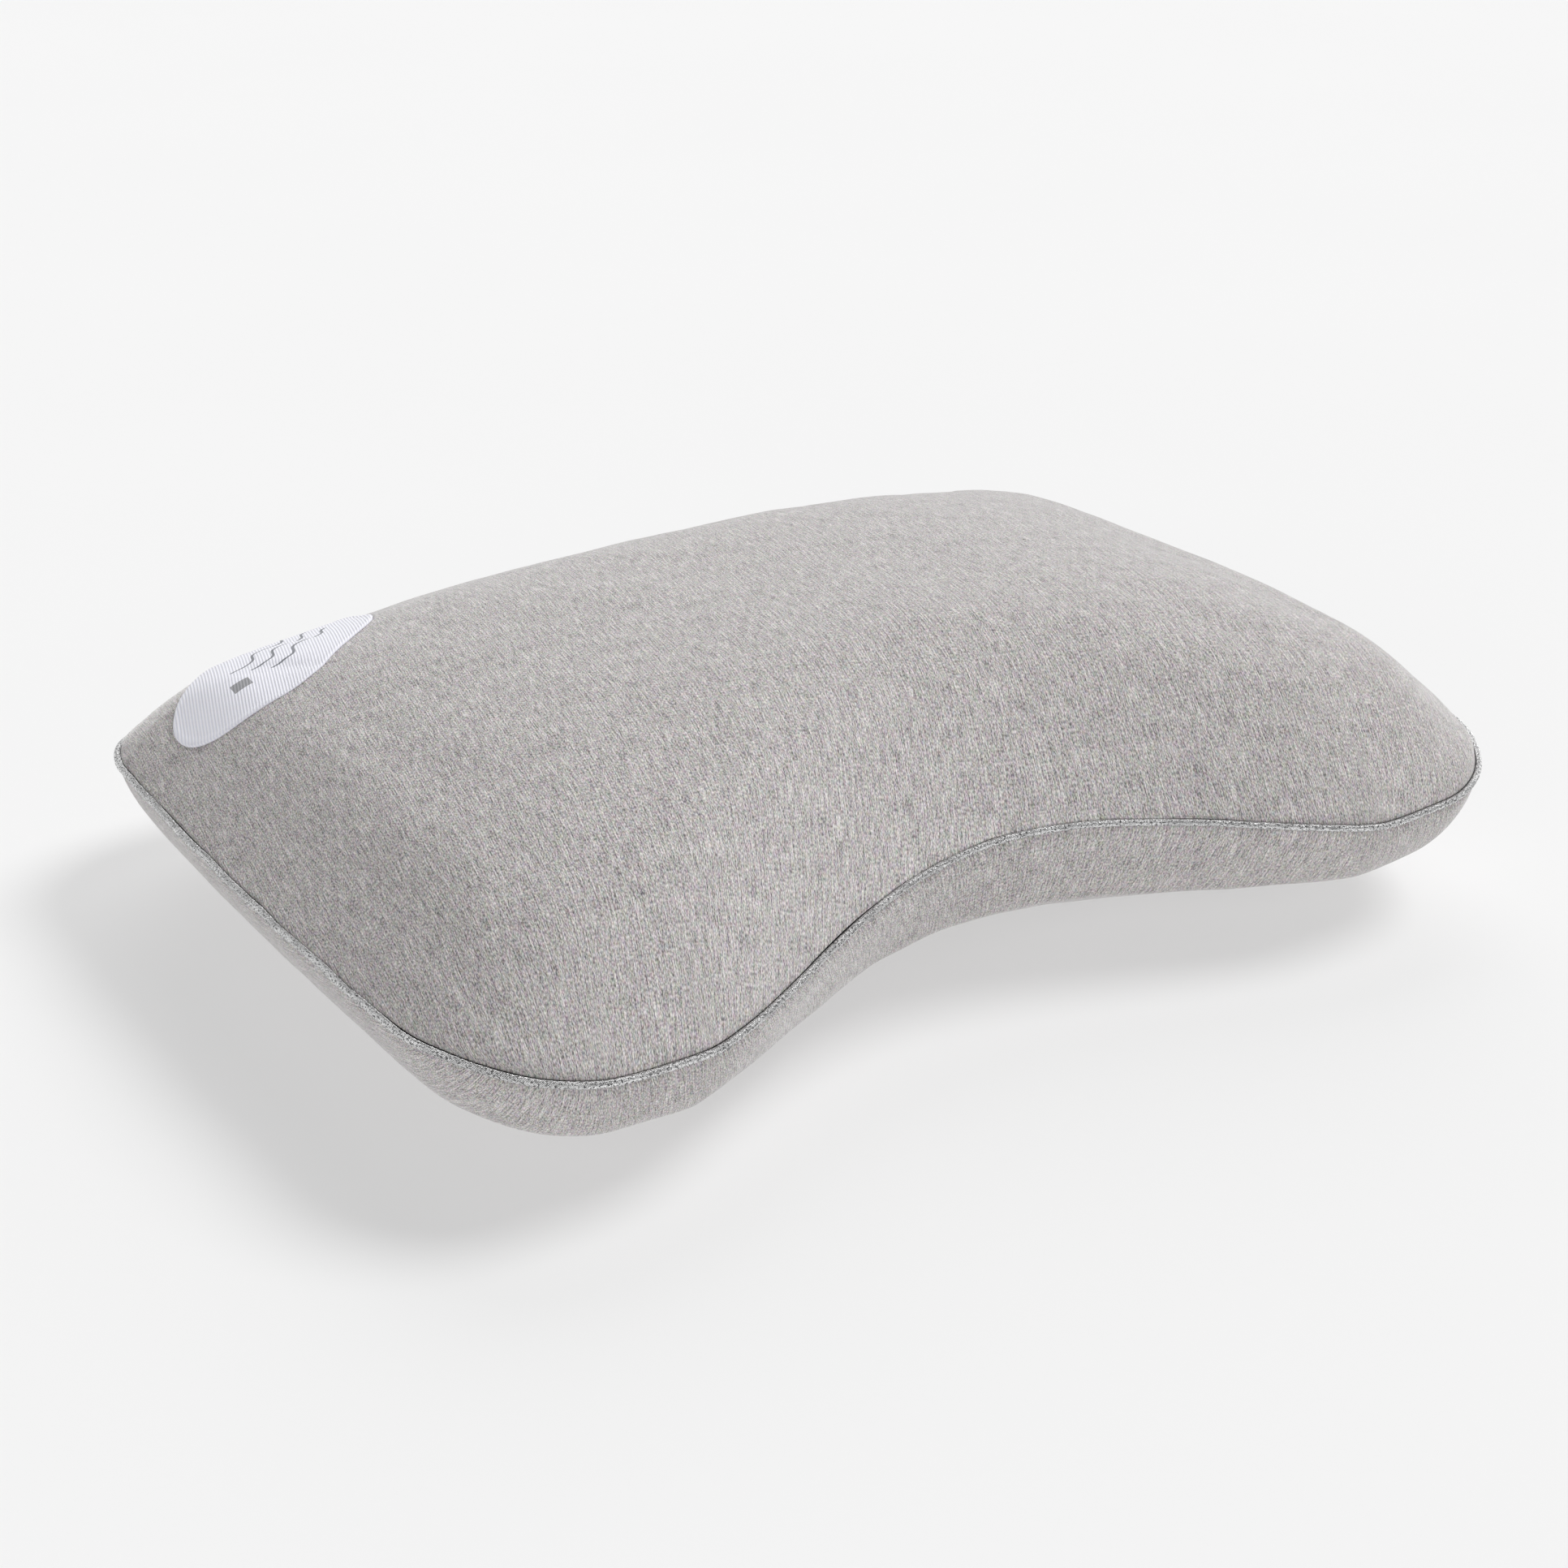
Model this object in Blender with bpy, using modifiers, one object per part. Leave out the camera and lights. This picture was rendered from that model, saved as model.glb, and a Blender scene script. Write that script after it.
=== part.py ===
"""A contoured bed pillow with a removable knit cover.

Sizes are in metres, +Z up. The origin is at the middle of the pillow's footprint, on the surface it lies on.
+X runs along the long side and +Y points to the straight back edge; the curved cut-out for the shoulder is
in the front edge. The cover is two knit panels sewn together with a piping at mid height. A zip in the back
edge opens the cover, and a foam core in a thin liner fills it.
"""

import math

import bmesh
import bpy
from mathutils import Matrix, Vector

# ---- outline of the seam, seen from above
LENGTH = 0.640  # between the straight sides, before they bow outwards
DEPTH = 0.474  # front lobes to the back edge, before it bows outwards
FRONT_RADIUS_X = 0.069
FRONT_RADIUS_Y = 0.086
BACK_RADIUS = 0.062
SIDE_BOW = 0.0087
MOST_BACK_BOW = 0.0118
BACK_BEND = 0.95  # most bend of the back edge beside its straight stretch
STRAIGHT_MARGIN = 0.016  # straight back edge past each end of the zip
CUTOUT_DEPTH = 0.0634
CUTOUT_WIDTH = 0.415
CUTOUT_POWER = 1.36  # higher gives a narrower, more pointed cut-out
SPINE_END = 0.165  # distance from each end to the ends of the crown's spine

# ---- height of the seam
SEAM_HEIGHT = 0.070
SEAM_FRONT_LIFT = 0.0226
SEAM_FRONT_WIDTH = 0.435
SEAM_END_LIFT = 0.0114

# ---- section of each half: a rounded edge, then a flatter crown
TOP_EDGE_WIDTH = 0.0565
TOP_EDGE_HEIGHT = 0.0315
TOP_EDGE_POWER = 1.10
TOP_CROWN = 0.0665
TOP_CROWN_POWERS = (3.63, 3.40)  # along X, along Y
TOP_CROWN_TILT = -0.168  # negative is higher towards the front
BOTTOM_EDGE_WIDTH = 0.0215
BOTTOM_EDGE_HEIGHT = 0.0332
BOTTOM_EDGE_POWER = 1.54
BOTTOM_CROWN = 0.0580
BOTTOM_CROWN_POWERS = (2.0, 2.0)
BOTTOM_CROWN_TILT = -0.123
CROWN_CUTOUT = 1.08  # how closely the crown follows the cut-out
FLOOR_ROUNDING = 0.0097  # height over which the underside turns flat where it rests

# ---- flat band below the back seam that the zip is sewn into, as (inset, drop) from the seam
BAND_TOP = (0.0006, 0.0040)
BAND_FOOT = (0.0078, 0.0255)

# ---- cloth thicknesses and clearances
GAP = 0.0003
KNIT = 0.0012
SEAM_ALLOWANCE = 0.008
SLEEVE_WALL = 0.0004
PIPING_RADIUS = 0.0019
PIPING_CLEARANCE = 0.0004
LINER = 0.0007
LINER_GAP = 0.0005  # between the liner and the foam core
CORE_ROOM = KNIT + 0.0028  # foam core in from the cover
CORE_EDGE_ROOM = 0.0135  # foam core in from the seam, past the seam allowances and the zip
BADGE_WALL = 0.0006
BADGE_TRIM_WALL = 0.0005

# ---- badge on the back left corner of the top panel
BADGE_LENGTH = 0.136
BADGE_WIDTH = 0.088
BADGE_EDGE = 0.0012  # how far the dark trim shows round the badge
BADGE_CENTRE = (-0.2405, 0.1495)
BADGE_ANGLE = math.radians(39.5)

# ---- zip, in its own frame: x along it, y out of the cover, z up across the tapes
ZIP_LENGTH = 0.384  # of the coils
SLOT_HEIGHT = 0.0092
SLOT_MARGIN = 0.004  # slot past each end of the coils
TAPE_WALL = 0.0006
TAPE_WIDTH = 0.0071
TAPE_OVERHANG = 0.012  # tape past each end of the coils
COIL_GAP = 0.0012  # between the two coils, where the slider's post runs
COIL_WIDTH = 0.0020
SLIDER_LENGTH = 0.011
SLIDER_PLATE = 0.0008
SLIDER_SIDE = 0.0007
SLIDER_POST = 0.0006
SLIDER_CLEARANCE = 0.0003
BAIL_LENGTH = 0.008
BAIL_WIDTH = 0.0016
BAIL_BAR = 0.0008
BAIL_ROOM = 0.0018
POST_LENGTH = 0.0025
PULL_LENGTH = 0.026
PULL_WIDTH = 0.0060
PULL_WALL = 0.0010
EYE_END = 0.0075  # start of the pull's eye, from its tip
EYE_LENGTH = 0.0045
EYE_WIDTH = 0.0022
STOP_LENGTH = 0.003
END_TAB_LENGTH = 0.009
END_TAB_HEIGHT = 0.0150

# ---- care label, sewn in beside the zip
LABEL_WIDTH = 0.024
LABEL_LENGTH = 0.040
LABEL_WALL = 0.0008  # two layers of the folded tape
LABEL_END_GAP = 0.006  # from the end of the zip's tapes

# ---- how finely the curves are cut
FRONT_STEPS = 7
CORNER_STEPS = 5
HALF_SIDE_STEPS = 2
BACK_STEPS = 7
ROUND_STEPS = 12
TOP_EDGE_STEPS = (0.08, 0.19, 0.34, 0.53, 0.76, 1.0)  # rings across the edge, as shares of its width
BOTTOM_EDGE_STEPS = (0.63, 1.0)
CROWN_STEPS = (0.20, 0.42, 0.70)  # rings over the crown, as shares of the way to its spine

COLLECTION = "contoured_pillow"
COLOURS = {
    "knit": ((0.52, 0.50, 0.49, 1), 0.9, 0.0),
    "silver": ((0.62, 0.62, 0.64, 1), 0.35, 0.8),
    "cord": ((0.85, 0.85, 0.82, 1), 0.9, 0.0),
    "badge": ((0.80, 0.80, 0.86, 1), 0.7, 0.0),
    "trim": ((0.18, 0.18, 0.19, 1), 0.8, 0.0),
    "tape": ((0.34, 0.34, 0.35, 1), 0.85, 0.0),
    "coil": ((0.30, 0.30, 0.31, 1), 0.45, 0.0),
    "metal": ((0.55, 0.55, 0.57, 1), 0.30, 1.0),
    "label": ((0.88, 0.88, 0.87, 1), 0.7, 0.0),
    "liner": ((0.90, 0.90, 0.89, 1), 0.9, 0.0),
    "foam": ((0.93, 0.91, 0.84, 1), 0.9, 0.0),
}

HALF_LENGTH = LENGTH / 2
HALF_DEPTH = DEPTH / 2
HALF_ZIP = ZIP_LENGTH / 2
STRAIGHT_BACK = ZIP_LENGTH + 2 * STRAIGHT_MARGIN  # middle stretch of the back edge
BACK_BOW = min(MOST_BACK_BOW, BACK_BEND * (HALF_LENGTH - STRAIGHT_BACK / 2) ** 2)
CENTRE_SHIFT = -BACK_BOW / 2  # brings the middle of the footprint to the origin
CORE_EDGE_INSET = (CORE_EDGE_ROOM - CORE_ROOM) / (1 - CORE_ROOM / TOP_EDGE_WIDTH)


# ---- collections, materials and modifiers


def clear_scene():
    for obj in list(bpy.data.objects):
        bpy.data.objects.remove(obj)


def new_collection(name):
    collection = bpy.data.collections.new(name)
    bpy.context.scene.collection.children.link(collection)
    return collection


def material(name, finish):
    colour, roughness, metallic = COLOURS[finish]
    made = bpy.data.materials.new(name)
    made.use_nodes = True
    shader = made.node_tree.nodes["Principled BSDF"]
    shader.inputs["Base Color"].default_value = colour
    shader.inputs["Roughness"].default_value = roughness
    shader.inputs["Metallic"].default_value = metallic
    made.diffuse_color = colour
    return made


def object_from(bm, name, finish, collection):
    """Turns a bmesh into an object with its own material, shaded smooth."""
    mesh = bpy.data.meshes.new(name)
    bm.to_mesh(mesh)
    bm.free()
    mesh.materials.append(material(name, finish))
    mesh.shade_smooth()
    mesh.set_sharp_from_angle(angle=math.radians(40))
    obj = bpy.data.objects.new(name, mesh)
    collection.objects.link(obj)
    return obj


def cutter_from(bm, name, collection):
    obj = object_from(bm, name, "trim", collection)
    obj.hide_render = True
    obj.display_type = "WIRE"
    return obj


def add_shell(obj, wall, lift=0.0, outward=False):
    """Gives an open surface a wall, on its inner or its outer side, after lifting it off its neighbour."""
    obj.modifiers.new("Triangles", "TRIANGULATE").quad_method = "SHORTEST_DIAGONAL"
    if lift:
        raised = obj.modifiers.new("Lift", "DISPLACE")
        raised.mid_level = 0.0
        raised.strength = lift
    solid = obj.modifiers.new("Wall", "SOLIDIFY")
    solid.thickness = wall
    solid.offset = 1.0 if outward else -1.0
    solid.use_even_offset = True


def add_boolean(obj, other, operation):
    boolean = obj.modifiers.new(operation.title(), "BOOLEAN")
    boolean.operation = operation
    boolean.object = other
    boolean.solver = "EXACT"


def box(bm, low, high):
    """Adds a box between two corners to a bmesh."""
    size = [b - a for a, b in zip(low, high)]
    middle = [(a + b) / 2 for a, b in zip(low, high)]
    place = Matrix.Translation(middle) @ Matrix.Diagonal((*size, 1.0))
    return bmesh.ops.create_cube(bm, size=1.0, matrix=place)["verts"]


# ---- the pillow's outline


def arch(u):
    """A smooth arch: 1 in the middle, 0 from u = 1 outwards."""
    return math.cos(math.pi / 2 * min(abs(u), 1.0)) ** CUTOUT_POWER


def past_straight(x):
    """0 along the straight back stretch, rising to 1 at the ends of the pillow."""
    start = STRAIGHT_BACK / 2
    return min(max((abs(x) - start) / (HALF_LENGTH - start), 0.0), 1.0)


def warp(x, y):
    """Bends a plain rounded rectangle into the pillow's outline."""
    frontness = max((HALF_DEPTH - y) / DEPTH, 0.0) ** 3
    backness = max((HALF_DEPTH + y) / DEPTH, 0.0) ** 3
    bow = SIDE_BOW * (1 - (y / HALF_DEPTH) ** 2) * min(abs(x) / HALF_LENGTH, 1.0) ** 3
    bent_y = y + CUTOUT_DEPTH * arch(2 * x / CUTOUT_WIDTH) * frontness
    bent_y += BACK_BOW * (1 - past_straight(x) ** 2) * backness
    return Vector((x + math.copysign(bow, x), bent_y + CENTRE_SHIFT))


def right_half_outline():
    """(point, direction) pairs of the plain rounded rectangle, from the middle of the front to the back."""
    corner_x = HALF_LENGTH - FRONT_RADIUS_X
    low_side = -HALF_DEPTH + FRONT_RADIUS_Y
    high_side = HALF_DEPTH - BACK_RADIUS
    back_corner_x = HALF_LENGTH - BACK_RADIUS
    pairs = []
    for i in range(FRONT_STEPS):
        pairs.append(((corner_x * i / FRONT_STEPS, -HALF_DEPTH), (1, 0)))
    for i in range(CORNER_STEPS):
        turn = math.pi / 2 * i / CORNER_STEPS
        point = (corner_x + FRONT_RADIUS_X * math.sin(turn), low_side - FRONT_RADIUS_Y * math.cos(turn))
        pairs.append((point, (FRONT_RADIUS_X * math.cos(turn), FRONT_RADIUS_Y * math.sin(turn))))
    for i in range(2 * HALF_SIDE_STEPS):
        share = i / (2 * HALF_SIDE_STEPS)
        pairs.append(((HALF_LENGTH, low_side + (high_side - low_side) * share), (0, 1)))
    for i in range(CORNER_STEPS):
        turn = math.pi / 2 * i / CORNER_STEPS
        point = (back_corner_x + BACK_RADIUS * math.cos(turn), high_side + BACK_RADIUS * math.sin(turn))
        pairs.append((point, (-math.sin(turn), math.cos(turn))))
    bent = BACK_STEPS // 2
    for i in range(bent):
        x = back_corner_x + (STRAIGHT_BACK / 2 - back_corner_x) * i / bent
        pairs.append(((x, HALF_DEPTH), (-1, 0)))
    for i in range(BACK_STEPS - bent):
        pairs.append(((STRAIGHT_BACK / 2 * (1 - i / (BACK_STEPS - bent)), HALF_DEPTH), (-1, 0)))
    pairs.append(((0.0, HALF_DEPTH), (-1, 0)))
    return pairs


def seam_height(x, y):
    frontness = max((HALF_DEPTH - y) / DEPTH, 0.0) ** 2
    lift = SEAM_FRONT_LIFT * arch(2 * x / SEAM_FRONT_WIDTH) * frontness
    return SEAM_HEIGHT + lift + SEAM_END_LIFT * past_straight(x) ** 2


def outline():
    """(point, inward normal, seam height) round the seam, anticlockwise from the middle of the front."""
    right = []
    for (x, y), (dx, dy) in right_half_outline():
        step = 1e-4 / math.hypot(dx, dy)
        ahead = warp(x + dx * step, y + dy * step) - warp(x - dx * step, y - dy * step)
        ahead.normalize()
        right.append((warp(x, y), Vector((-ahead.y, ahead.x)), seam_height(x, y)))
    left = [
        (Vector((-point.x, point.y)), Vector((-normal.x, normal.y)), height)
        for point, normal, height in reversed(right[1:-1])
    ]
    return right + left


SEAM = outline()
COUNT = len(SEAM)


# ---- the two halves' surfaces


def spine_point(point):
    """Where a point of the outline would end up on the line that the crown rises to."""
    reach = HALF_LENGTH - SPINE_END
    x = max(-reach, min(reach, point.x * reach / HALF_LENGTH))
    return Vector((x, CUTOUT_DEPTH / 2 * arch(2 * x / CUTOUT_WIDTH) + CENTRE_SHIFT))


def rounded_edge(share, height, power):
    return height * (1 - (1 - share) ** power) ** (1 / power)


def crown(point, height, powers, tilt):
    along = min(abs(point.x) / HALF_LENGTH, 1.0)
    front = -HALF_DEPTH + CROWN_CUTOUT * CUTOUT_DEPTH * arch(2 * point.x / CUTOUT_WIDTH) + CENTRE_SHIFT
    back = HALF_DEPTH + BACK_BOW + CENTRE_SHIFT
    across = (point.y - (front + back) / 2) / ((back - front) / 2)
    across = min(max(across, -1.0), 1.0)
    flatness = (1 - along ** powers[0]) * (1 - abs(across) ** powers[1])
    return height * flatness * (1 + tilt * across)


def ease(share):
    return share * share * (3 - 2 * share)


def rested(z):
    """Turns what would sink below the floor into a flat face on it."""
    blend = min(max(0.5 + 0.5 * z / FLOOR_ROUNDING, 0.0), 1.0)
    return z * blend + FLOOR_ROUNDING * blend * (1 - blend)


def faded(height, travelled):
    """The seam's height, with its lift dying out on the way from the seam to the spine."""
    return SEAM_HEIGHT + (height - SEAM_HEIGHT) * (1 - ease(travelled))


def ring(top, inset, towards_spine=0.0, room=0.0):
    """One ring of points of the top or bottom surface.

    inset is the distance in from the seam, and towards_spine the share of the way from there to the crown's
    spine. With room, the ring keeps that far inside the cover's ring, most of it sideways at the seam.
    """
    share = inset / (TOP_EDGE_WIDTH if top else BOTTOM_EDGE_WIDTH)
    aside = room * (1 - inset / TOP_EDGE_WIDTH)
    points = []
    for point, normal, height in SEAM:
        spine = spine_point(point)
        above = (point + normal * inset).lerp(spine, towards_spine)
        flat = (point + normal * (inset + aside)).lerp(spine, towards_spine)
        travelled = 0.5 + 0.5 * towards_spine if towards_spine else math.acos(1 - share) / math.pi
        base = faded(height, travelled)
        if top:
            rise = rounded_edge(share, TOP_EDGE_HEIGHT, TOP_EDGE_POWER)
            rise += crown(above, TOP_CROWN, TOP_CROWN_POWERS, TOP_CROWN_TILT)
            z = base + rise - room
        else:
            drop = rounded_edge(share, BOTTOM_EDGE_HEIGHT, BOTTOM_EDGE_POWER)
            drop += crown(above, BOTTOM_CROWN, BOTTOM_CROWN_POWERS, BOTTOM_CROWN_TILT)
            z = rested(base - drop) + room
        points.append(Vector((flat.x, flat.y, z)))
    return points


def seam_ring(inset, rise, share=0.0):
    """A ring at a set inset and height from the seam; share is how far the seam's own lift has faded."""
    points = []
    for point, normal, height in SEAM:
        flat = point + normal * inset
        points.append(Vector((flat.x, flat.y, faded(height, math.acos(1 - share) / math.pi) + rise)))
    return points


def loft(rings, closed_end=True, closed_start=False):
    """Joins rings of equal count with quads, and closes an end across from front to back."""
    bm = bmesh.new()
    rows = [[bm.verts.new(point) for point in points] for points in rings]
    for low, high in zip(rows, rows[1:]):
        for i in range(COUNT):
            bm.faces.new((low[i - 1], low[i], high[i], high[i - 1]))
    if closed_end:
        close_across(bm, rows[-1])
    if closed_start:
        close_across(bm, rows[0])
    return bm


def close_across(bm, row):
    """Fills a ring with strips from each front point to the back point opposite to it."""
    half = COUNT // 2
    for i in range(-half // 2, half // 2):
        corners = (row[i], row[i + 1], row[(half - i - 1) % COUNT], row[(half - i) % COUNT])
        bm.faces.new(dict.fromkeys(corners))


def facing_out(bm, upwards):
    """Turns an open surface's faces to the pillow's outside."""
    bmesh.ops.recalc_face_normals(bm, faces=bm.faces)
    middle = min(bm.faces, key=lambda face: face.calc_center_median().xy.length)
    if (middle.normal.z > 0) != upwards:
        bmesh.ops.reverse_faces(bm, faces=bm.faces)
    return bm


def crown_rings(top, room=0.0):
    """The rings from the foot of the rounded edge to the crown's spine."""
    width = TOP_EDGE_WIDTH if top else BOTTOM_EDGE_WIDTH
    steps = TOP_EDGE_STEPS if top else BOTTOM_EDGE_STEPS
    start = 1.3 * CORE_EDGE_INSET if room else 0.0
    rings = [ring(top, width * share, room=room) for share in steps if width * share > start]
    return rings + [ring(top, width, share, room) for share in CROWN_STEPS]


def bottom_rings():
    rings = [seam_ring(inset, -drop, inset / BOTTOM_EDGE_WIDTH) for inset, drop in (BAND_TOP, BAND_FOOT)]
    return rings + crown_rings(False)


# ---- cover, piping and badge

FOLD_INSET = PIPING_RADIUS + PIPING_CLEARANCE
SLEEVE_HALF = SLEEVE_WALL + GAP / 2  # from the middle of the piping's flange to its outer face
FLANGE_RISE = SLEEVE_HALF + GAP


def make_top_panel(collection):
    allowance = [seam_ring(FOLD_INSET + SEAM_ALLOWANCE, FLANGE_RISE), seam_ring(FOLD_INSET, FLANGE_RISE)]
    bm = facing_out(loft(allowance + crown_rings(True)), upwards=True)
    add_shell(object_from(bm, "cover_top_panel", "knit", collection), KNIT)


def make_bottom_panel(collection, cutters):
    allowance = [seam_ring(FOLD_INSET + SEAM_ALLOWANCE, -FLANGE_RISE), seam_ring(FOLD_INSET, -FLANGE_RISE)]
    bm = facing_out(loft(allowance + bottom_rings()), upwards=False)
    panel = object_from(bm, "cover_bottom_panel", "knit", collection)
    add_shell(panel, KNIT)
    slot = bmesh.new()
    half = HALF_ZIP + SLOT_MARGIN
    box(slot, (-half, -2 * KNIT, -SLOT_HEIGHT / 2), (half, 2 * KNIT, SLOT_HEIGHT / 2))
    slot.transform(zip_frame())
    add_boolean(panel, cutter_from(slot, "zip_slot_cutter", cutters), "DIFFERENCE")


def swept(profile):
    """Carries a closed profile of (out, up) offsets round the seam."""
    bm = bmesh.new()
    rows = []
    for point, normal, height in SEAM:
        base = Vector((point.x, point.y, height))
        outward = Vector((-normal.x, -normal.y, 0))
        rows.append([bm.verts.new(base + outward * out + Vector((0, 0, up))) for out, up in profile])
    for i in range(COUNT):
        for j in range(len(profile)):
            bm.faces.new((rows[i - 1][j - 1], rows[i][j - 1], rows[i][j], rows[i - 1][j]))
    bmesh.ops.recalc_face_normals(bm, faces=bm.faces)
    return bm


def arc(radius, start, end, steps):
    angles = [start + (end - start) * i / steps for i in range(steps + 1)]
    return [(radius * math.cos(angle), radius * math.sin(angle)) for angle in angles]


def make_piping(collection):
    """A cord inside a sleeve whose two edges run into the seam, a slit apart."""
    slit = GAP / 2
    inner = PIPING_RADIUS - SLEEVE_WALL
    tail = -FOLD_INSET - SEAM_ALLOWANCE
    inner_turn = math.pi - math.asin(slit / inner)
    outer_turn = math.pi - math.asin(SLEEVE_HALF / PIPING_RADIUS)
    outside = arc(PIPING_RADIUS, -outer_turn, outer_turn, 8)
    inside = arc(inner, inner_turn, -inner_turn, 6)
    profile = [(tail, -SLEEVE_HALF)] + outside + [(tail, SLEEVE_HALF), (tail, slit)]
    profile += inside + [(tail, -slit)]
    object_from(swept(profile), "piping_sleeve", "silver", collection)
    cord = arc(inner - GAP, 0, 2 * math.pi, 6)[:-1]
    object_from(swept(cord), "piping_cord", "cord", collection)


def stadium(length, width, height):
    """An upright block with two round ends, long side along X: a cylinder pulled apart at its middle."""
    bm = bmesh.new()
    bmesh.ops.create_cone(
        bm, cap_ends=True, segments=2 * ROUND_STEPS, radius1=width / 2, radius2=width / 2, depth=height
    )
    for vert in bm.verts:
        if abs(vert.co.x) > width / 100:
            vert.co.x += math.copysign((length - width) / 2, vert.co.x)
    return bm


def make_badge(collection, cutters):
    """The dark trim lies on the panel and the badge on the trim, both cut to a round-ended outline."""
    layers = (
        ("badge_trim", "trim", GAP, BADGE_TRIM_WALL, BADGE_EDGE),
        ("corner_badge", "badge", 2 * GAP + BADGE_TRIM_WALL, BADGE_WALL, 0.0),
    )
    for name, finish, lift, wall, edge in layers:
        layer = object_from(facing_out(loft(crown_rings(True)), upwards=True), name, finish, collection)
        add_shell(layer, wall, lift, outward=True)
        outline_block = stadium(BADGE_LENGTH + 2 * edge, BADGE_WIDTH + 2 * edge, 1.0)
        centre = Matrix.Translation((*BADGE_CENTRE, 0.0))
        outline_block.transform(centre @ Matrix.Rotation(BADGE_ANGLE, 4, "Z"))
        add_boolean(layer, cutter_from(outline_block, name + "_cutter", cutters), "INTERSECT")


# ---- core and liner


def core_rings(top):
    return [ring(top, CORE_EDGE_INSET, room=CORE_ROOM)] + crown_rings(top, CORE_ROOM)


def make_core(collection):
    upper = core_rings(True)
    lower = core_rings(False)
    bm = loft(list(reversed(lower)) + upper, closed_start=True)
    bmesh.ops.recalc_face_normals(bm, faces=bm.faces)
    core = object_from(bm, "foam_core", "foam", collection)
    core.modifiers.new("Triangles", "TRIANGULATE").quad_method = "SHORTEST_DIAGONAL"
    for name, rings, side in (("liner_upper", upper, 1), ("liner_lower", lower, -1)):
        wall_end = [[p.lerp(q, 0.5 + side * 0.02) for p, q in zip(lower[0], upper[0])]]
        half = facing_out(loft(wall_end + rings), upwards=side > 0)
        liner = object_from(half, name, "liner", collection)
        add_shell(liner, LINER, LINER_GAP, outward=True)


# ---- zip


def zip_frame():
    """Places the zip in the flat band below the back seam."""
    back = HALF_DEPTH + BACK_BOW + CENTRE_SHIFT
    top = Vector((0, back - BAND_TOP[0], SEAM_HEIGHT - BAND_TOP[1]))
    foot = Vector((0, back - BAND_FOOT[0], SEAM_HEIGHT - BAND_FOOT[1]))
    up = (top - foot).normalized()
    out = up.cross(Vector((1, 0, 0)))
    axes = Matrix((Vector((1, 0, 0)), out, up)).transposed().to_4x4()
    return Matrix.Translation((top + foot) / 2) @ axes


TAPE_Y = -KNIT - GAP - TAPE_WALL / 2
COIL_HALF = COIL_WIDTH / 2
COIL_LOW = COIL_GAP / 2
COIL_HIGH = COIL_LOW + COIL_WIDTH
TAPE_LOW = COIL_HIGH + GAP
SLIDER_X = HALF_ZIP - STOP_LENGTH - GAP - SLIDER_LENGTH / 2
PLATE_IN = COIL_HALF + SLIDER_CLEARANCE
PLATE_OUT = PLATE_IN + SLIDER_PLATE
SLIDER_HALF = COIL_HIGH + SLIDER_CLEARANCE + SLIDER_SIDE
PULL_Y = TAPE_Y + PLATE_OUT + BAIL_ROOM / 2
LABEL_X = HALF_ZIP + TAPE_OVERHANG + LABEL_END_GAP + LABEL_WIDTH / 2


def in_zip(bm, name, finish, collection):
    """Makes an object of a piece modelled in the zip's frame, with its origin on the zip."""
    obj = object_from(bm, name, finish, collection)
    obj.matrix_world = zip_frame()
    return obj


def make_tapes(collection):
    half = HALF_ZIP + TAPE_OVERHANG
    for name, side in (("upper", 1), ("lower", -1)):
        tape = bmesh.new()
        edges = sorted((side * TAPE_LOW, side * (TAPE_LOW + TAPE_WIDTH)))
        box(tape, (-half, TAPE_Y - TAPE_WALL / 2, edges[0]), (half, TAPE_Y + TAPE_WALL / 2, edges[1]))
        in_zip(tape, "zip_tape_" + name, "tape", collection)
        coil = bmesh.new()
        edges = sorted((side * COIL_LOW, side * COIL_HIGH))
        end = HALF_ZIP - STOP_LENGTH - GAP
        start = -HALF_ZIP + STOP_LENGTH + GAP
        box(coil, (start, TAPE_Y - COIL_HALF, edges[0]), (end, TAPE_Y + COIL_HALF, edges[1]))
        in_zip(coil, "zip_coil_" + name, "coil", collection)
        stop = bmesh.new()
        box(stop, (HALF_ZIP - STOP_LENGTH, TAPE_Y - COIL_HALF, edges[0]), (HALF_ZIP, TAPE_Y + COIL_HALF, edges[1]))
        in_zip(stop, "zip_top_stop_" + name, "metal", collection)
    stop = bmesh.new()
    low = (-HALF_ZIP, TAPE_Y - COIL_HALF, -COIL_HIGH)
    box(stop, low, (-HALF_ZIP + STOP_LENGTH, TAPE_Y + COIL_HALF, COIL_HIGH))
    in_zip(stop, "zip_bottom_stop", "metal", collection)


def make_end_tabs(collection):
    """A folded tab of tape over each end of the zip, behind the panel."""
    for name, side in (("left", -1), ("right", 1)):
        tab = bmesh.new()
        start = HALF_ZIP + GAP
        edges = sorted((side * start, side * (start + END_TAB_LENGTH)))
        face = TAPE_Y - TAPE_WALL / 2 - GAP
        half = END_TAB_HEIGHT / 2
        box(tab, (edges[0], face - TAPE_WALL, -half), (edges[1], face, half))
        in_zip(tab, "zip_end_tab_" + name, "tape", collection)


def in_one_piece(name, finish, boxes, collection, cutters):
    """Joins boxes that overlap into one solid in the zip's frame."""
    first = bmesh.new()
    box(first, *boxes[0])
    obj = in_zip(first, name, finish, collection)
    for number, corners in enumerate(boxes[1:]):
        other = bmesh.new()
        box(other, *corners)
        helper = cutter_from(other, f"{name}_piece_{number}", cutters)
        helper.matrix_world = zip_frame()
        add_boolean(obj, helper, "UNION")
    return obj


def moved(boxes, x):
    return [((low[0] + x, low[1], low[2]), (high[0] + x, high[1], high[2])) for low, high in boxes]


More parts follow.
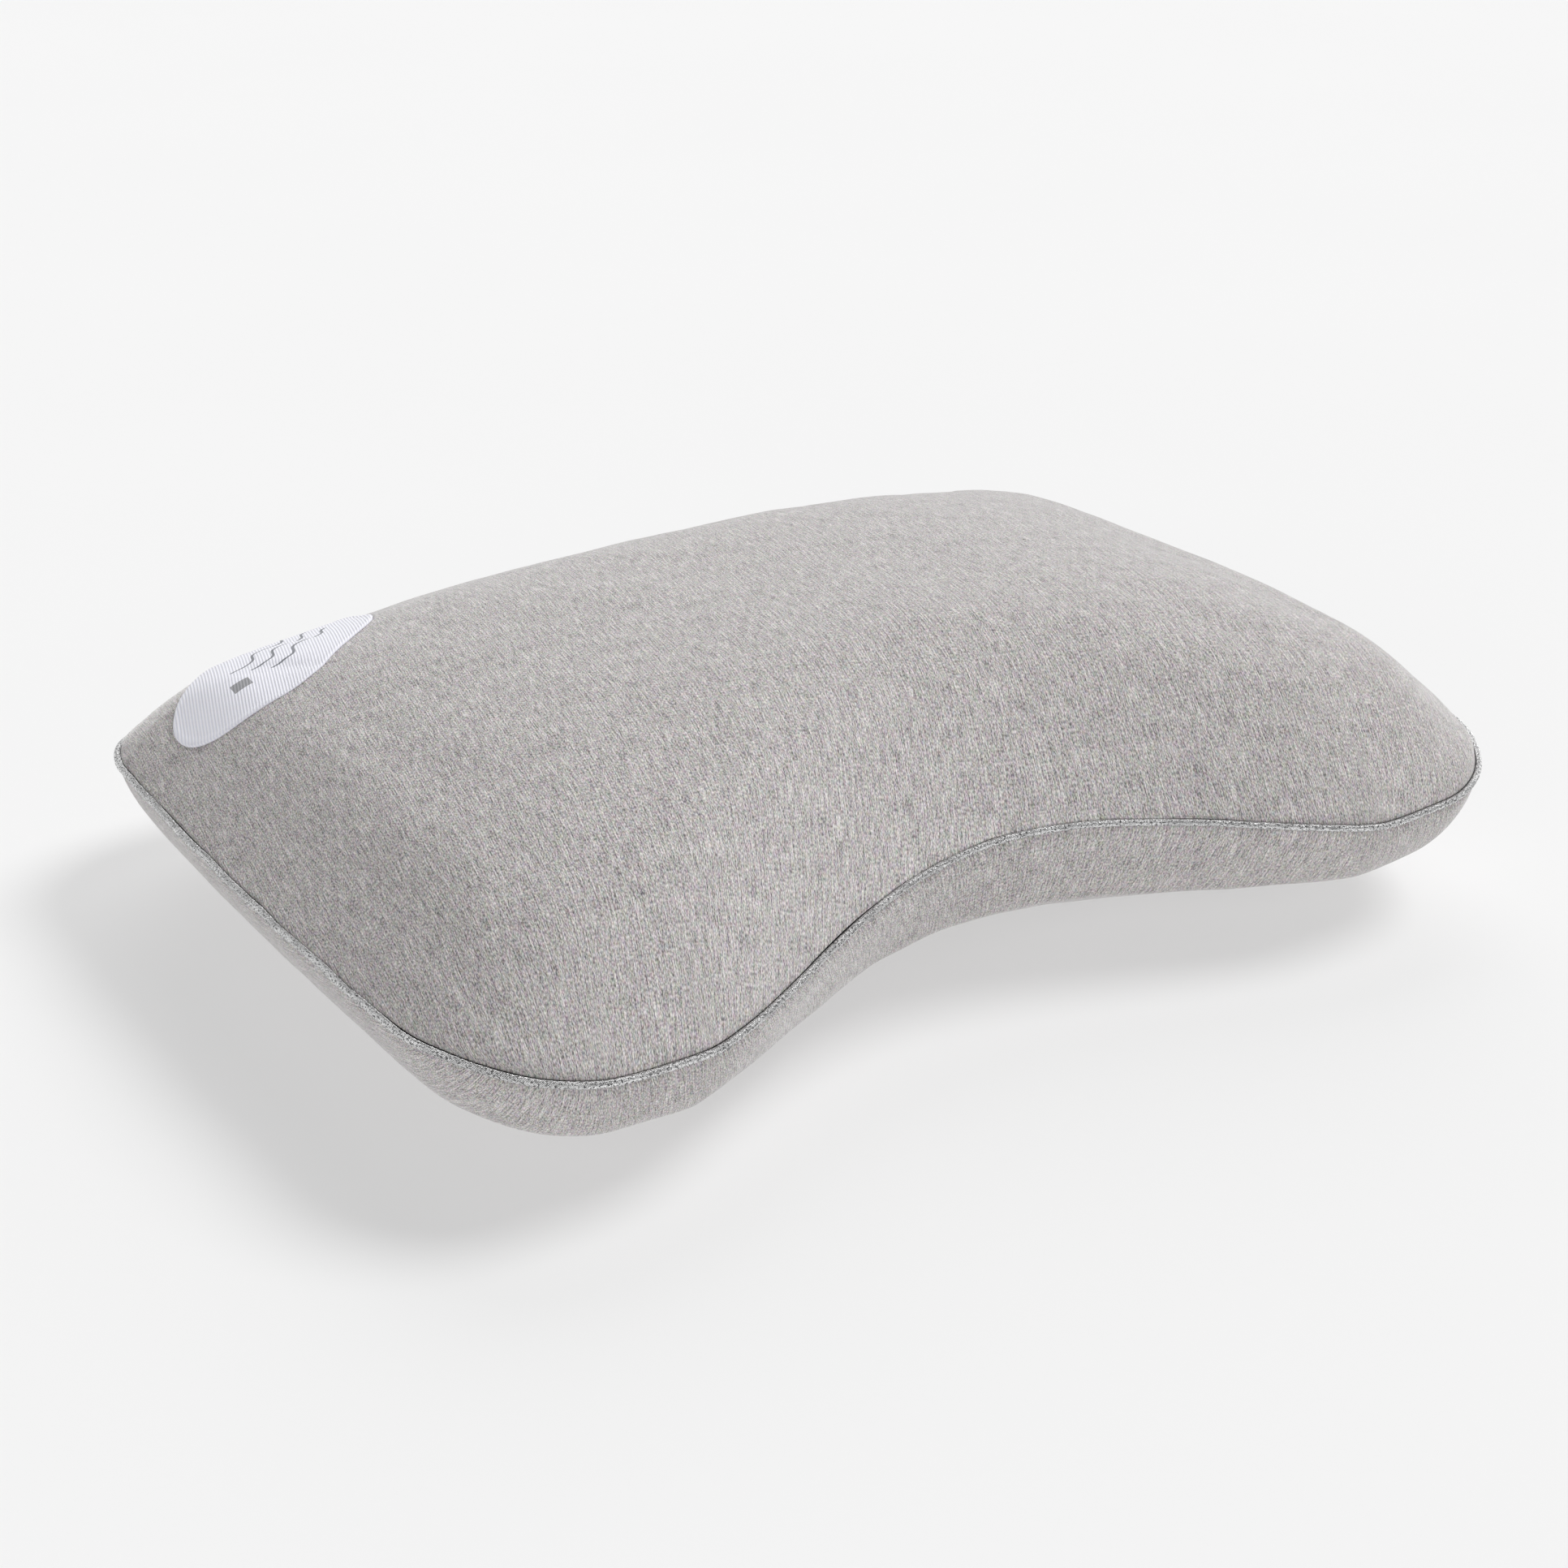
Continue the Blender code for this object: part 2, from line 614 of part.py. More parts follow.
def make_slider(collection, cutters):
    """Two plates joined by a post at the nose, with lips that close round the coils, and a bail on top."""
    half = SLIDER_LENGTH / 2
    slit = TAPE_WALL / 2 + SLIDER_CLEARANCE
    overlap = SLIDER_PLATE / 2
    boxes = []
    for side in (-1, 1):
        near, far = sorted((TAPE_Y + side * PLATE_IN, TAPE_Y + side * PLATE_OUT))
        boxes.append(((-half, near, -SLIDER_HALF), (half, far, SLIDER_HALF)))
        near, far = sorted((TAPE_Y + side * slit, TAPE_Y + side * (PLATE_IN + overlap)))
        for edge in (-1, 1):
            low, high = sorted((edge * (SLIDER_HALF - SLIDER_SIDE), edge * SLIDER_HALF))
            boxes.append(((-half, near, low), (half, far, high)))
    reach = PLATE_IN + overlap
    post = SLIDER_POST / 2
    boxes.append(((half - POST_LENGTH, TAPE_Y - reach, -post), (half, TAPE_Y + reach, post)))
    plate = TAPE_Y + PLATE_OUT
    width = BAIL_WIDTH / 2
    for side in (-1, 1):
        low, high = sorted((side * (BAIL_LENGTH / 2 - BAIL_BAR), side * BAIL_LENGTH / 2))
        boxes.append(((low, plate - overlap, -width), (high, plate + BAIL_ROOM + BAIL_BAR / 2, width)))
    bar = plate + BAIL_ROOM
    boxes.append(((-BAIL_LENGTH / 2, bar, -width), (BAIL_LENGTH / 2, bar + BAIL_BAR, width)))
    in_one_piece("zip_slider", "metal", moved(boxes, SLIDER_X), collection, cutters)


def make_pull(collection, cutters):
    """A flat tab whose end bar turns in the slider's bail; its origin is on the bar's axis."""
    bar = PULL_WALL / 2
    tab = bmesh.new()
    box(tab, (-PULL_LENGTH, -bar, -PULL_WIDTH / 2), (bar, bar, PULL_WIDTH / 2))
    tip = [
        edge for edge in tab.edges
        if all(vert.co.x < 0 for vert in edge.verts) and abs(edge.verts[0].co.y - edge.verts[1].co.y) > bar
    ]
    bmesh.ops.bevel(
        tab, geom=tip, offset=PULL_WIDTH * 0.4, segments=4, profile=0.5, affect="EDGES", material=-1
    )
    pull = object_from(tab, "zip_pull", "metal", collection)
    pull.matrix_world = zip_frame() @ Matrix.Translation((SLIDER_X, PULL_Y, 0))
    width = BAIL_WIDTH / 2 + SLIDER_CLEARANCE
    for name, near, far, half in (
        ("window", bar, BAIL_LENGTH / 2 + BAIL_BAR + SLIDER_CLEARANCE, width),
        ("eye", PULL_LENGTH - EYE_END, PULL_LENGTH - EYE_END + EYE_LENGTH, EYE_WIDTH / 2),
    ):
        hole = bmesh.new()
        box(hole, (-far, -PULL_WALL, -half), (-near, PULL_WALL, half))
        cutter = cutter_from(hole, "zip_pull_" + name, cutters)
        cutter.matrix_world = pull.matrix_world
        add_boolean(pull, cutter, "DIFFERENCE")


def make_label(collection):
    """A blank folded label that hangs from the seam past the end of the zip."""
    half = LABEL_WIDTH / 2
    top = (Vector(BAND_TOP) - Vector(BAND_FOOT)).length / 2
    label = bmesh.new()
    box(label, (LABEL_X - half, GAP, top - LABEL_LENGTH), (LABEL_X + half, GAP + LABEL_WALL, top))
    in_zip(label, "care_label", "label", collection)


def build():
    clear_scene()
    parts = new_collection(COLLECTION)
    cutters = new_collection(COLLECTION + "_cutters")
    make_top_panel(parts)
    make_bottom_panel(parts, cutters)
    make_piping(parts)
    make_badge(parts, cutters)
    make_core(parts)
    make_tapes(parts)
    make_end_tabs(parts)
    make_slider(parts, cutters)
    make_pull(parts, cutters)
    make_label(parts)


build()
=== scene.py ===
"""Dresses the frame of a contoured bed pillow: knit cover, silver piping, corner badge, zip, liner and foam core.

Sizes are in metres, +Z up, +Y towards the straight back edge. Each piece is modelled by its own operator in
the frame's space, so its object sits at the origin.
"""

import math

import bmesh
import bpy
import numpy as np
from bpy.props import FloatProperty, FloatVectorProperty, IntProperty, PointerProperty
from mathutils import Euler, Matrix, Vector, noise
from mathutils.bvhtree import BVHTree


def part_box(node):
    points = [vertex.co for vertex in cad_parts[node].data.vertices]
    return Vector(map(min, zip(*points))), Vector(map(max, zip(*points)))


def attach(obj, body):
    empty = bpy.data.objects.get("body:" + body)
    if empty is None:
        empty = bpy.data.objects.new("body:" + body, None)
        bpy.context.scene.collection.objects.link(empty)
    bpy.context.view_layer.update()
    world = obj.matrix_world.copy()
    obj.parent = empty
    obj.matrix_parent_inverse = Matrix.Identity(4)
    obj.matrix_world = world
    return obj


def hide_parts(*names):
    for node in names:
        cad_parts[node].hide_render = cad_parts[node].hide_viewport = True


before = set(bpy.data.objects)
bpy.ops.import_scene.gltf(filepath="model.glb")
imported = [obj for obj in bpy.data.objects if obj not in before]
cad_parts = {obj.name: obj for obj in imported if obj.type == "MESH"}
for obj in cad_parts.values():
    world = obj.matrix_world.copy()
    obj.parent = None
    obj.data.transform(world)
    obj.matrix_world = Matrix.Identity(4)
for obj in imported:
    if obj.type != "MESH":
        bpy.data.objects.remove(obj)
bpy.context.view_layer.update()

bl_info = {
    "name": "Contoured bed pillow",
    "version": (1, 0, 0),
    "blender": (4, 5, 0),
    "location": "3D View > Sidebar > Pillow",
    "description": "Dresses a contoured pillow's frame with its cover, piping, badge, zip and core",
    "category": "Object",
}

CLOTH_UV = "cloth"

# ---- the seam's outline
FRONT_RADII = (0.069, 0.086)
BACK_RADII = (0.062, 0.062)
SIDE_BOW = 0.0087
BACK_BOW = 0.0118
STRAIGHT_BACK = 0.416  # middle stretch of the back edge that the zip is sewn along
CUTOUT_POWER = 1.36
SPINE_END = 0.165
SEAM_FRONT_LIFT = 0.0226
SEAM_FRONT_WIDTH = 0.435
SEAM_END_LIFT = 0.0114
SEAM_STEPS = (7, 5, 4, 5, 2, 5)  # front, corner, side, corner, bent back and straight back, times the fineness
CENTRE_SHIFT = -BACK_BOW / 2

# ---- section of each half
TOP_EDGE_WIDTH = 0.0565
TOP_EDGE_LEAN = 1.04
TOP_EDGE_BEND = 0.88
TOP_EDGE_SOFTNESS = 0.0028
END_PUFF_REACH = 0.042
TOP_CROWN_POWERS = (3.63, 3.40)
TOP_CROWN_TILT = -0.168
BOTTOM_EDGE_WIDTH = 0.0215
BOTTOM_EDGE_POWER = 1.54
BOTTOM_CROWN_POWERS = (2.0, 2.0)
BOTTOM_CROWN_TILT = -0.123
CROWN_CUTOUT = 1.08
FLOOR_ROUNDING = 0.0097
TURN_TO_SPINE = 0.55  # how far a ring's way in has turned towards the spine where the rounded edge ends
BEND_STEP = 1e-4
ZIP_ZONE_HALF = 0.275
ZIP_ZONE_FADE = 0.035
SIDEWAYS_WAVES = ((1.0, 19, 1.0), (0.7, 33, 2.1), (0.3, 61, 0.0))  # size, number round the seam, start
UPWARDS_WAVES = ((1.0, 17, 0.4), (0.6, 37, 1.3), (0.3, 67, 2.0))
EDGE_SHARES = np.array((0.055, 0.08, 0.12, 0.17, 0.23, 0.30, 0.38, 0.47, 0.56, 0.66, 0.77, 0.88))
LOWER_INSETS = (0.0095, 0.0115, 0.0140, 0.0165, 0.0190)
TOP_STEPS, BOTTOM_STEPS = 27, 25
HUG_SHARE, HUG_RISE = 0.9, 0.00125  # where the top panel leans on the piping
BAND_TOP = np.array((0.0006, 0.0040))  # inset from the seam and drop below it, where the zip's flat band starts
BAND_FOOT = np.array((0.0078, 0.0255))
BAND_LENGTH = float(np.hypot(*(BAND_FOOT - BAND_TOP)))

# ---- cloth
KNIT = 0.0012
GAP = 0.0003
SEAM_ALLOWANCE = 0.008
SLEEVE_WALL = 0.0004
PIPING_CLEARANCE = 0.0001
LINER = 0.0007
LINER_GAP = 0.0005
CORE_ROOM = 0.004
CORE_EDGE_ROOM = 0.0135
CORE_EDGE_INSET = (CORE_EDGE_ROOM - CORE_ROOM) / (1 - CORE_ROOM / TOP_EDGE_WIDTH)
LEAST_LIFT = 0.0004  # lowest that swelled cloth may come above the floor
CLOTH_FRAMES = 20
CLOTH_SETTINGS = {
    "quality": 6, "mass": 0.15, "tension_stiffness": 25, "compression_stiffness": 25, "shear_stiffness": 8,
    "bending_stiffness": 0.3, "use_pressure": True, "shrink_min": -0.004,
}
SLACK = 0.0012  # height of the soft unevenness, and below it the size and share of each of its waves
SLACK_WAVES = ((0.055, 1.0), (0.024, 0.45))
PIPING_LAY = 0.0075
PIPING_GROOVE = 0.10
BADGE_STEPS = (0, 0, 0.0004, 0.0009, 0.0016, 0.0024, 0.0032, 0.0040)  # in from the badge's rim
BADGE_LIFTS = (0, 0.5, 0.85, 1, 1, 1, 1, 1)
BADGE_RIM_REACH = 0.0036
BADGE_SKIN = 0.0003

# ---- patterns: the size of one cell across and along the cloth, or the pitch of the stripes
STREAK_TURN = math.radians(12)
PALE_STREAK = (0.00092, 0.0150, 1.0)
DARK_STREAK = (0.00100, 0.0125, 1.0)
YARN_GRAIN = (0.00055, 0.0016, 1.0)
MOTTLE = (0.012, 0.030, 1.0)
YARN_TINT = (0.0011, 0.0030, 1.0)
WALE_PITCH = 0.00125
THREAD_PITCH = 0.0007
GLITTER = (0.0013, 0.0011, 1.0)
TARNISH = (0.012, 0.004, 1.0)
RIB_PITCH = 0.0016
RIB_WEAVE = (0.0007, 0.0007, 1.0)
PRINT_WAVE_LENGTH = 0.034
PRINT_WAVE_HEIGHT = 0.0036
PRINT_SPACING = 0.0125
PRINT_LINE = (0.0007, 0.0011)  # half the line's width, and where its soft edge ends
PRINT_SHIFT = 0.012
EMBLEM_SIZE = (0.0068, 0.0073)

# ---- zip, in its own frame: x along it, y out of the cover, z up across the tapes
SLOT_HEIGHT = 0.0092
SLOT_MARGIN = 0.004
TAPE_WALL = 0.0006
TAPE_WIDTH = 0.0071
TAPE_OVERHANG = 0.012
TAPE_Y = -KNIT - GAP - TAPE_WALL / 2
COIL_WIDTH = 0.0020
COIL_LOW = 0.0006
COIL_HIGH = COIL_LOW + COIL_WIDTH
STOP_LENGTH = 0.003
SLIDER_LENGTH = 0.011
SLIDER_PLATE = 0.0008
SLIDER_HALF = COIL_HIGH + 0.0010
PLATE_IN = COIL_WIDTH / 2 + GAP
BAIL_LENGTH = 0.008
BAIL_WIDTH = 0.0016
BAIL_BAR = 0.0008
BAIL_ROOM = 0.0018
PULL_LENGTH = 0.026
PULL_WIDTH = 0.0060
PULL_WALL = 0.0010
END_TAB_LENGTH = 0.009
END_TAB_HEIGHT = 0.0150
LABEL_CLOTH = 0.0003
LABEL_CURL = 0.0035
STITCH_OFF = 0.0022  # from the slot's edge to the row of stitches
STITCH_PROUD = 0.00015
TACK_PITCH = 0.0011
TACK_HALF = 0.0016
WIRE = 0.00030
PLATE_TAPER = 0.22

# ---- stage
FLOOR_RADIUS = 14.0
FLOOR_DROP = 0.0004
SUNS = (  # name, share of the light, softness, azimuth and elevation in degrees
    ("key", 0.56, 28, 102, 52),
    ("back", 0.28, 45, 34, 34),
    ("fill", 0.30, 60, 226, 12),
)
SKY_LEAN = (0.75, 0.45, 0.35)
SKY_RANGE = (-0.8, 0.8, 0.55, 1.15)
WALLS_RANGE = (0.12, 0.50)
LENS, SENSOR = 62.9, 36.0
CAMERA_TARGET = (-0.0108, -0.0025, 0.0582)
CAMERA_AZIMUTH, CAMERA_ELEVATION, CAMERA_ROLL = (math.radians(turn) for turn in (-33.35, 25.2, -0.23))
CAMERA_DISTANCE = 1.512


# ---- what a user may change


def size(name, description, default):
    return FloatProperty(name=name, description=description, default=default, min=0.0, unit="LENGTH", precision=5)


def colour(name, description, default):
    return FloatVectorProperty(
        name=name, description=description, default=default, size=3, min=0.0, max=1.0, subtype="COLOR"
    )


class PillowShape(bpy.types.PropertyGroup):
    length: size("Length", "Distance between the straight sides, before they bow outwards", 0.640)
    depth: size("Depth", "Distance from the front lobes to the back edge, before it bows outwards", 0.474)
    cutout_depth: size("Cut-out depth", "How far the shoulder cut-out reaches into the front edge", 0.0634)
    cutout_width: size("Cut-out width", "Width of the shoulder cut-out along the front edge", 0.415)
    seam_height: size("Seam height", "Height of the seam above the surface that the pillow lies on", 0.070)
    top_edge: size("Top edge height", "Rise of the rounded edge above the seam", 0.0315)
    top_crown: size("Top crown", "Rise of the crown above the rounded edge", 0.0665)
    end_puff: size("End puff", "How much rounder the edge is at the pillow's two ends", 0.0010)
    bottom_edge: size("Bottom edge height", "Drop of the rounded edge below the seam", 0.0332)
    bottom_crown: size("Bottom crown", "Drop of the underside's crown before it rests flat", 0.0580)
    wobble: size("Seam wobble", "How far the sewn edge wanders from a true line", 0.0005)
    puff: size("Puff", "Most that the cloth may swell away from its cut shape", 0.0020)
    pressure: FloatProperty(
        name="Pressure", description="Pressure that the foam puts on the cover in the simulation", default=4.0, min=0.0
    )
    fineness: IntProperty(name="Fineness", description="How finely the cover's cloth is cut", default=7, min=2, max=12)


class PillowTrim(bpy.types.PropertyGroup):
    piping_radius: size("Piping radius", "Radius of the piping sewn into the seam", 0.0019)
    badge_length: size("Badge length", "Length of the round-ended badge", 0.136)
    badge_width: size("Badge width", "Width of the round-ended badge", 0.088)
    badge_wall: size("Badge thickness", "Thickness of the badge's cloth", 0.0006)
    badge_edge: size("Badge trim", "How far the dark trim shows round the badge", 0.0004)
    badge_centre: FloatVectorProperty(
        name="Badge centre", description="Centre of the badge on the top panel", default=(-0.2405, 0.1495),
        size=2, unit="LENGTH",
    )
    badge_angle: FloatProperty(
        name="Badge angle", description="Turn of the badge across the corner", default=math.radians(39.5),
        subtype="ANGLE",
    )
    zip_length: size("Zip length", "Length of the zip's coils", 0.384)
    coil_pitch: size("Coil pitch", "Distance between two turns of the zip's coils", 0.0015)
    stitch: size("Stitch length", "Length of one stitch beside the zip", 0.0030)
    label_width: size("Label width", "Width of the care label", 0.024)
    label_length: size("Label length", "Length of the folded care label", 0.040)


class PillowLooks(bpy.types.PropertyGroup):
    knit_light: colour("Light yarn", "Colour of the knit's light yarn", (0.82, 0.779, 0.766))
    knit_dark: colour("Dark yarn", "Colour of the knit's dark yarn", (0.115, 0.107, 0.110))
    silver: colour("Silver thread", "Colour of the piping's metallic thread", (0.94, 0.94, 0.96))
    badge: colour("Badge", "Colour of the badge's ribbed cloth", (0.89, 0.89, 1.0))
    print: colour("Badge print", "Colour of the thin lines printed on the badge", (0.14, 0.15, 0.18))
    emblem: colour("Badge diamond", "Colour of the small diamond printed on the badge", (0.30, 0.30, 0.32))
    trim: colour("Badge trim", "Colour of the cloth under the badge", (0.16, 0.16, 0.17))
    tape: colour("Zip tape", "Colour of the zip's tapes and coils", (0.30, 0.30, 0.31))
    metal: colour("Zip metal", "Colour of the slider, pull and stops", (0.62, 0.62, 0.64))
    label: colour("Label", "Colour of the care label", (0.86, 0.86, 0.85))
    foam: colour("Foam", "Colour of the foam core", (0.86, 0.82, 0.68))
    liner: colour("Liner", "Colour of the liner's cloth", (0.84, 0.84, 0.83))
    floor: colour("Floor", "Colour of the floor", (0.46, 0.46, 0.46))
    floor_glow: FloatProperty(
        name="Floor glow", description="Light that the studio floor gives back from below", default=0.44, min=0.0
    )
    sun: FloatProperty(name="Sun", description="Strength of the soft key light", default=3.35, min=0.0)
    sky: FloatProperty(name="Sky", description="Strength of the even light from above", default=0.26, min=0.0)
    horizon: FloatProperty(
        name="Walls", description="Strength of the light from low down all round", default=0.72, min=0.0
    )


def shape_of():
    return bpy.context.scene.pillow_shape


def trim_of():
    return bpy.context.scene.pillow_trim


def looks_of():
    return bpy.context.scene.pillow_looks


# ---- the seam and the two halves' surfaces


def arch(u, power=CUTOUT_POWER):
    """A smooth arch: 1 in the middle, 0 from u = 1 outwards."""
    return np.maximum(np.cos(np.pi / 2 * np.minimum(np.abs(u), 1.0)), 0.0) ** power


def ease(share):
    share = np.clip(share, 0.0, 1.0)
    return share * share * (3 - 2 * share)


def unit(vectors):
    return vectors / np.maximum(np.linalg.norm(vectors, axis=-1, keepdims=True), 1e-12)


def rounded_edge(share, height, power):
    return height * (1 - (1 - share) ** power) ** (1 / power)


def soft_edge(travel, height):
    """Rise of the top's edge after travelling in from the seam, rounded off softly where the crown takes over."""
    climb = TOP_EDGE_LEAN * height * (travel / TOP_EDGE_WIDTH) ** TOP_EDGE_BEND
    return -TOP_EDGE_SOFTNESS * np.log(np.exp(-climb / TOP_EDGE_SOFTNESS) + np.exp(-height / TOP_EDGE_SOFTNESS))


def rested(z):
    """Turns what would sink below the floor into a flat face on it."""
    blend = np.clip(0.5 + 0.5 * z / FLOOR_ROUNDING, 0.0, 1.0)
    return z * blend + FLOOR_ROUNDING * blend * (1 - blend)


def straight(start, end, steps):
    start, end = np.array(start), np.array(end)
    share = np.arange(steps)[:, None] / steps
    return start + (end - start) * share, np.repeat((end - start)[None], steps, 0)


def quarter(centre, radii, first, steps):
    turn = first + np.pi / 2 * np.arange(steps) / steps
    spokes = np.stack((np.cos(turn), np.sin(turn)), 1)
    return np.array(centre) + spokes * radii, np.stack((-np.sin(turn), np.cos(turn)), 1) * radii


class Seam:
    """The seam's outline, anticlockwise from the middle of the front, and the surfaces that start from it."""

    def __init__(self, fineness, wobble=0.0):
        self.shape = shape_of()
        self.half_length, self.half_depth = self.shape.length / 2, self.shape.depth / 2
        flat, way = self.right_half(fineness)
        step = BEND_STEP * unit(way)
        ahead = unit(self.warp(flat + step) - self.warp(flat - step))
        self.point = self.both_sides(self.warp(flat))
        self.inward = self.both_sides(np.stack((-ahead[:, 1], ahead[:, 0]), 1))
        self.height = self.both_sides(self.seam_height(flat)[:, None], 1)[:, 0]
        self.count = len(self.point)
        lengths = np.linalg.norm(np.roll(self.point, -1, 0) - self.point, axis=1)
        self.travel = np.concatenate(([0], np.cumsum(lengths)[:-1]))
        self.perimeter = lengths.sum()
        self.ends = self.past_straight(self.point[:, 0]) ** 2
        behind = self.point[:, 1] > self.half_depth / 2
        self.zip_zone = ease((ZIP_ZONE_HALF - np.abs(self.point[:, 0])) / ZIP_ZONE_FADE) * behind
        self.wander(wobble)
        half = self.count // 2
        opposite = (half - np.arange(self.count)) % self.count
        reach = self.half_length - SPINE_END
        x = (self.point[:, 0] + self.point[opposite, 0]) / 2 * reach / self.half_length
        x = np.clip(x, -reach, reach)
        y = self.shape.cutout_depth / 2 * arch(2 * x / self.shape.cutout_width) + CENTRE_SHIFT
        self.spine = np.stack((x, y), 1)

    def right_half(self, fineness):
        front, corner, side, _, bent, back = (fineness * steps for steps in SEAM_STEPS)
        x, y = self.half_length, self.half_depth
        front_x, low = x - FRONT_RADII[0], FRONT_RADII[1] - y
        back_x, high = x - BACK_RADII[0], y - BACK_RADII[1]
        pieces = (
            straight((0, -y), (front_x, -y), front),
            quarter((front_x, low), FRONT_RADII, -np.pi / 2, corner),
            straight((x, low), (x, high), side),
            quarter((back_x, high), BACK_RADII, 0.0, corner),
            straight((back_x, y), (STRAIGHT_BACK / 2, y), bent),
            straight((STRAIGHT_BACK / 2, y), (0, y), back),
            (np.array([[0, y]]), np.array([[-1.0, 0]])),
        )
        return (np.concatenate([piece[k] for piece in pieces]) for k in (0, 1))

    @staticmethod
    def both_sides(right, sign=-1):
        mirrored = right[-2:0:-1].copy()
        mirrored[:, 0] *= sign
        return np.concatenate((right, mirrored))

    def past_straight(self, x):
        start = STRAIGHT_BACK / 2
        return np.clip((np.abs(x) - start) / (self.half_length - start), 0.0, 1.0)

    def warp(self, flat):
        """Bends a plain rounded rectangle into the pillow's outline."""
        x, y = flat.T
        shape = self.shape
        frontness = np.maximum((self.half_depth - y) / shape.depth, 0.0) ** 3
        backness = np.maximum((self.half_depth + y) / shape.depth, 0.0) ** 3
        bow = SIDE_BOW * (1 - (y / self.half_depth) ** 2) * np.minimum(np.abs(x) / self.half_length, 1) ** 3
        bent_y = y + shape.cutout_depth * arch(2 * x / shape.cutout_width) * frontness
        bent_y += BACK_BOW * (1 - self.past_straight(x) ** 2) * backness + CENTRE_SHIFT
        return np.stack((x + np.copysign(bow, x), bent_y), 1)

    def seam_height(self, flat):
        x, y = flat.T
        frontness = np.maximum((self.half_depth - y) / self.shape.depth, 0.0) ** 2
        lift = SEAM_FRONT_LIFT * arch(2 * x / SEAM_FRONT_WIDTH) * frontness
        return self.shape.seam_height + lift + SEAM_END_LIFT * self.past_straight(x) ** 2

    def wander(self, amount):
        """Lets the sewn edge stray a little sideways and up, except along the zip."""
        if not amount:
            return
        phase = 2 * np.pi * self.travel / self.perimeter
        left = ease((-self.point[:, 0] - 0.15) / 0.15)
        freedom = (0.45 + 0.75 * left) * (1 - self.zip_zone)
        sideways, upwards = (
            sum(size_of * np.sin(number * phase + start) for size_of, number, start in waves)
            for waves in (SIDEWAYS_WAVES, UPWARDS_WAVES)
        )
        self.point = self.point + self.inward * (amount * 0.45 * sideways * freedom)[:, None]
        self.height = self.height + amount * 0.5 * upwards * freedom

    def crown(self, points, height, powers, tilt):
        x, y = points.T
        along = np.minimum(np.abs(x) / self.half_length, 1.0)
        cutout = CROWN_CUTOUT * self.shape.cutout_depth * arch(2 * x / self.shape.cutout_width)
        front = -self.half_depth + cutout + CENTRE_SHIFT
        back = self.half_depth + BACK_BOW + CENTRE_SHIFT
        across = np.clip((y - (front + back) / 2) / ((back - front) / 2), -1.0, 1.0)
        flatness = (1 - along ** powers[0]) * (1 - np.abs(across) ** powers[1])
        return height * flatness * (1 + tilt * across)

    def faded(self, travelled):
        return self.shape.seam_height + (self.height - self.shape.seam_height) * (1 - ease(travelled))

    def inset_by(self, inset, room=0.0):
        """The outline moved in, turning towards the spine as it goes so that it never folds over itself."""
        towards = unit(self.spine - self.point)
        way = unit(self.inward + (towards - self.inward) * TURN_TO_SPINE * ease(inset / TOP_EDGE_WIDTH))
        return self.point + way * (inset + room)

    def ring(self, top, inset, towards_spine=0.0, room=0.0):
        """One ring of the top or bottom surface: so far in from the seam, then a share of the way to the spine."""
        share = min(inset / (TOP_EDGE_WIDTH if top else BOTTOM_EDGE_WIDTH), 1.0)
        aside = room * (1 - inset / TOP_EDGE_WIDTH)
        above, flat = (
            start + (self.spine - start) * towards_spine
            for start in (self.inset_by(inset), self.inset_by(inset, aside))
        )
        travelled = 0.5 + 0.5 * towards_spine if towards_spine else math.acos(1 - share) / math.pi
        base = self.faded(travelled)
        shape = self.shape
        if top:
            edge = self.inset_by(inset)
            travel = inset + towards_spine * np.linalg.norm(self.spine - edge, axis=1)
            rise = soft_edge(travel, shape.top_edge) + shape.end_puff * self.ends * arch(travel / END_PUFF_REACH - 1)
            z = base + rise + self.crown(above, shape.top_crown, TOP_CROWN_POWERS, TOP_CROWN_TILT) - room
        else:
            drop = rounded_edge(share, shape.bottom_edge, BOTTOM_EDGE_POWER)
            drop = drop + self.crown(above, shape.bottom_crown, BOTTOM_CROWN_POWERS, BOTTOM_CROWN_TILT)
            z = rested(base - drop) + room
        return np.column_stack((flat, z))

    def seam_ring(self, inset, rise, share=0.0):
        """A ring at a set inset and height from the seam."""
        return np.column_stack((self.point + self.inward * inset, self.faded(math.acos(1 - share) / math.pi) + rise))

    def allowance(self, rise):
        """The cloth turned in at the seam, from its cut edge to its fold."""
        fold = trim_of().piping_radius + PIPING_CLEARANCE
        return [self.seam_ring(fold + further, rise) for further in (SEAM_ALLOWANCE, 0.002, 0.0)]

    def top_rings(self):
        flange = SLEEVE_WALL + 1.5 * GAP
        rings = self.allowance(flange) + [self.seam_ring(HUG_SHARE * trim_of().piping_radius, HUG_RISE)]
        rings += [self.ring(True, inset) for inset in TOP_EDGE_WIDTH * EDGE_SHARES]
        rings += [self.ring(True, TOP_EDGE_WIDTH, share) for share in np.linspace(0.0, 1.0, TOP_STEPS)]
        return rings

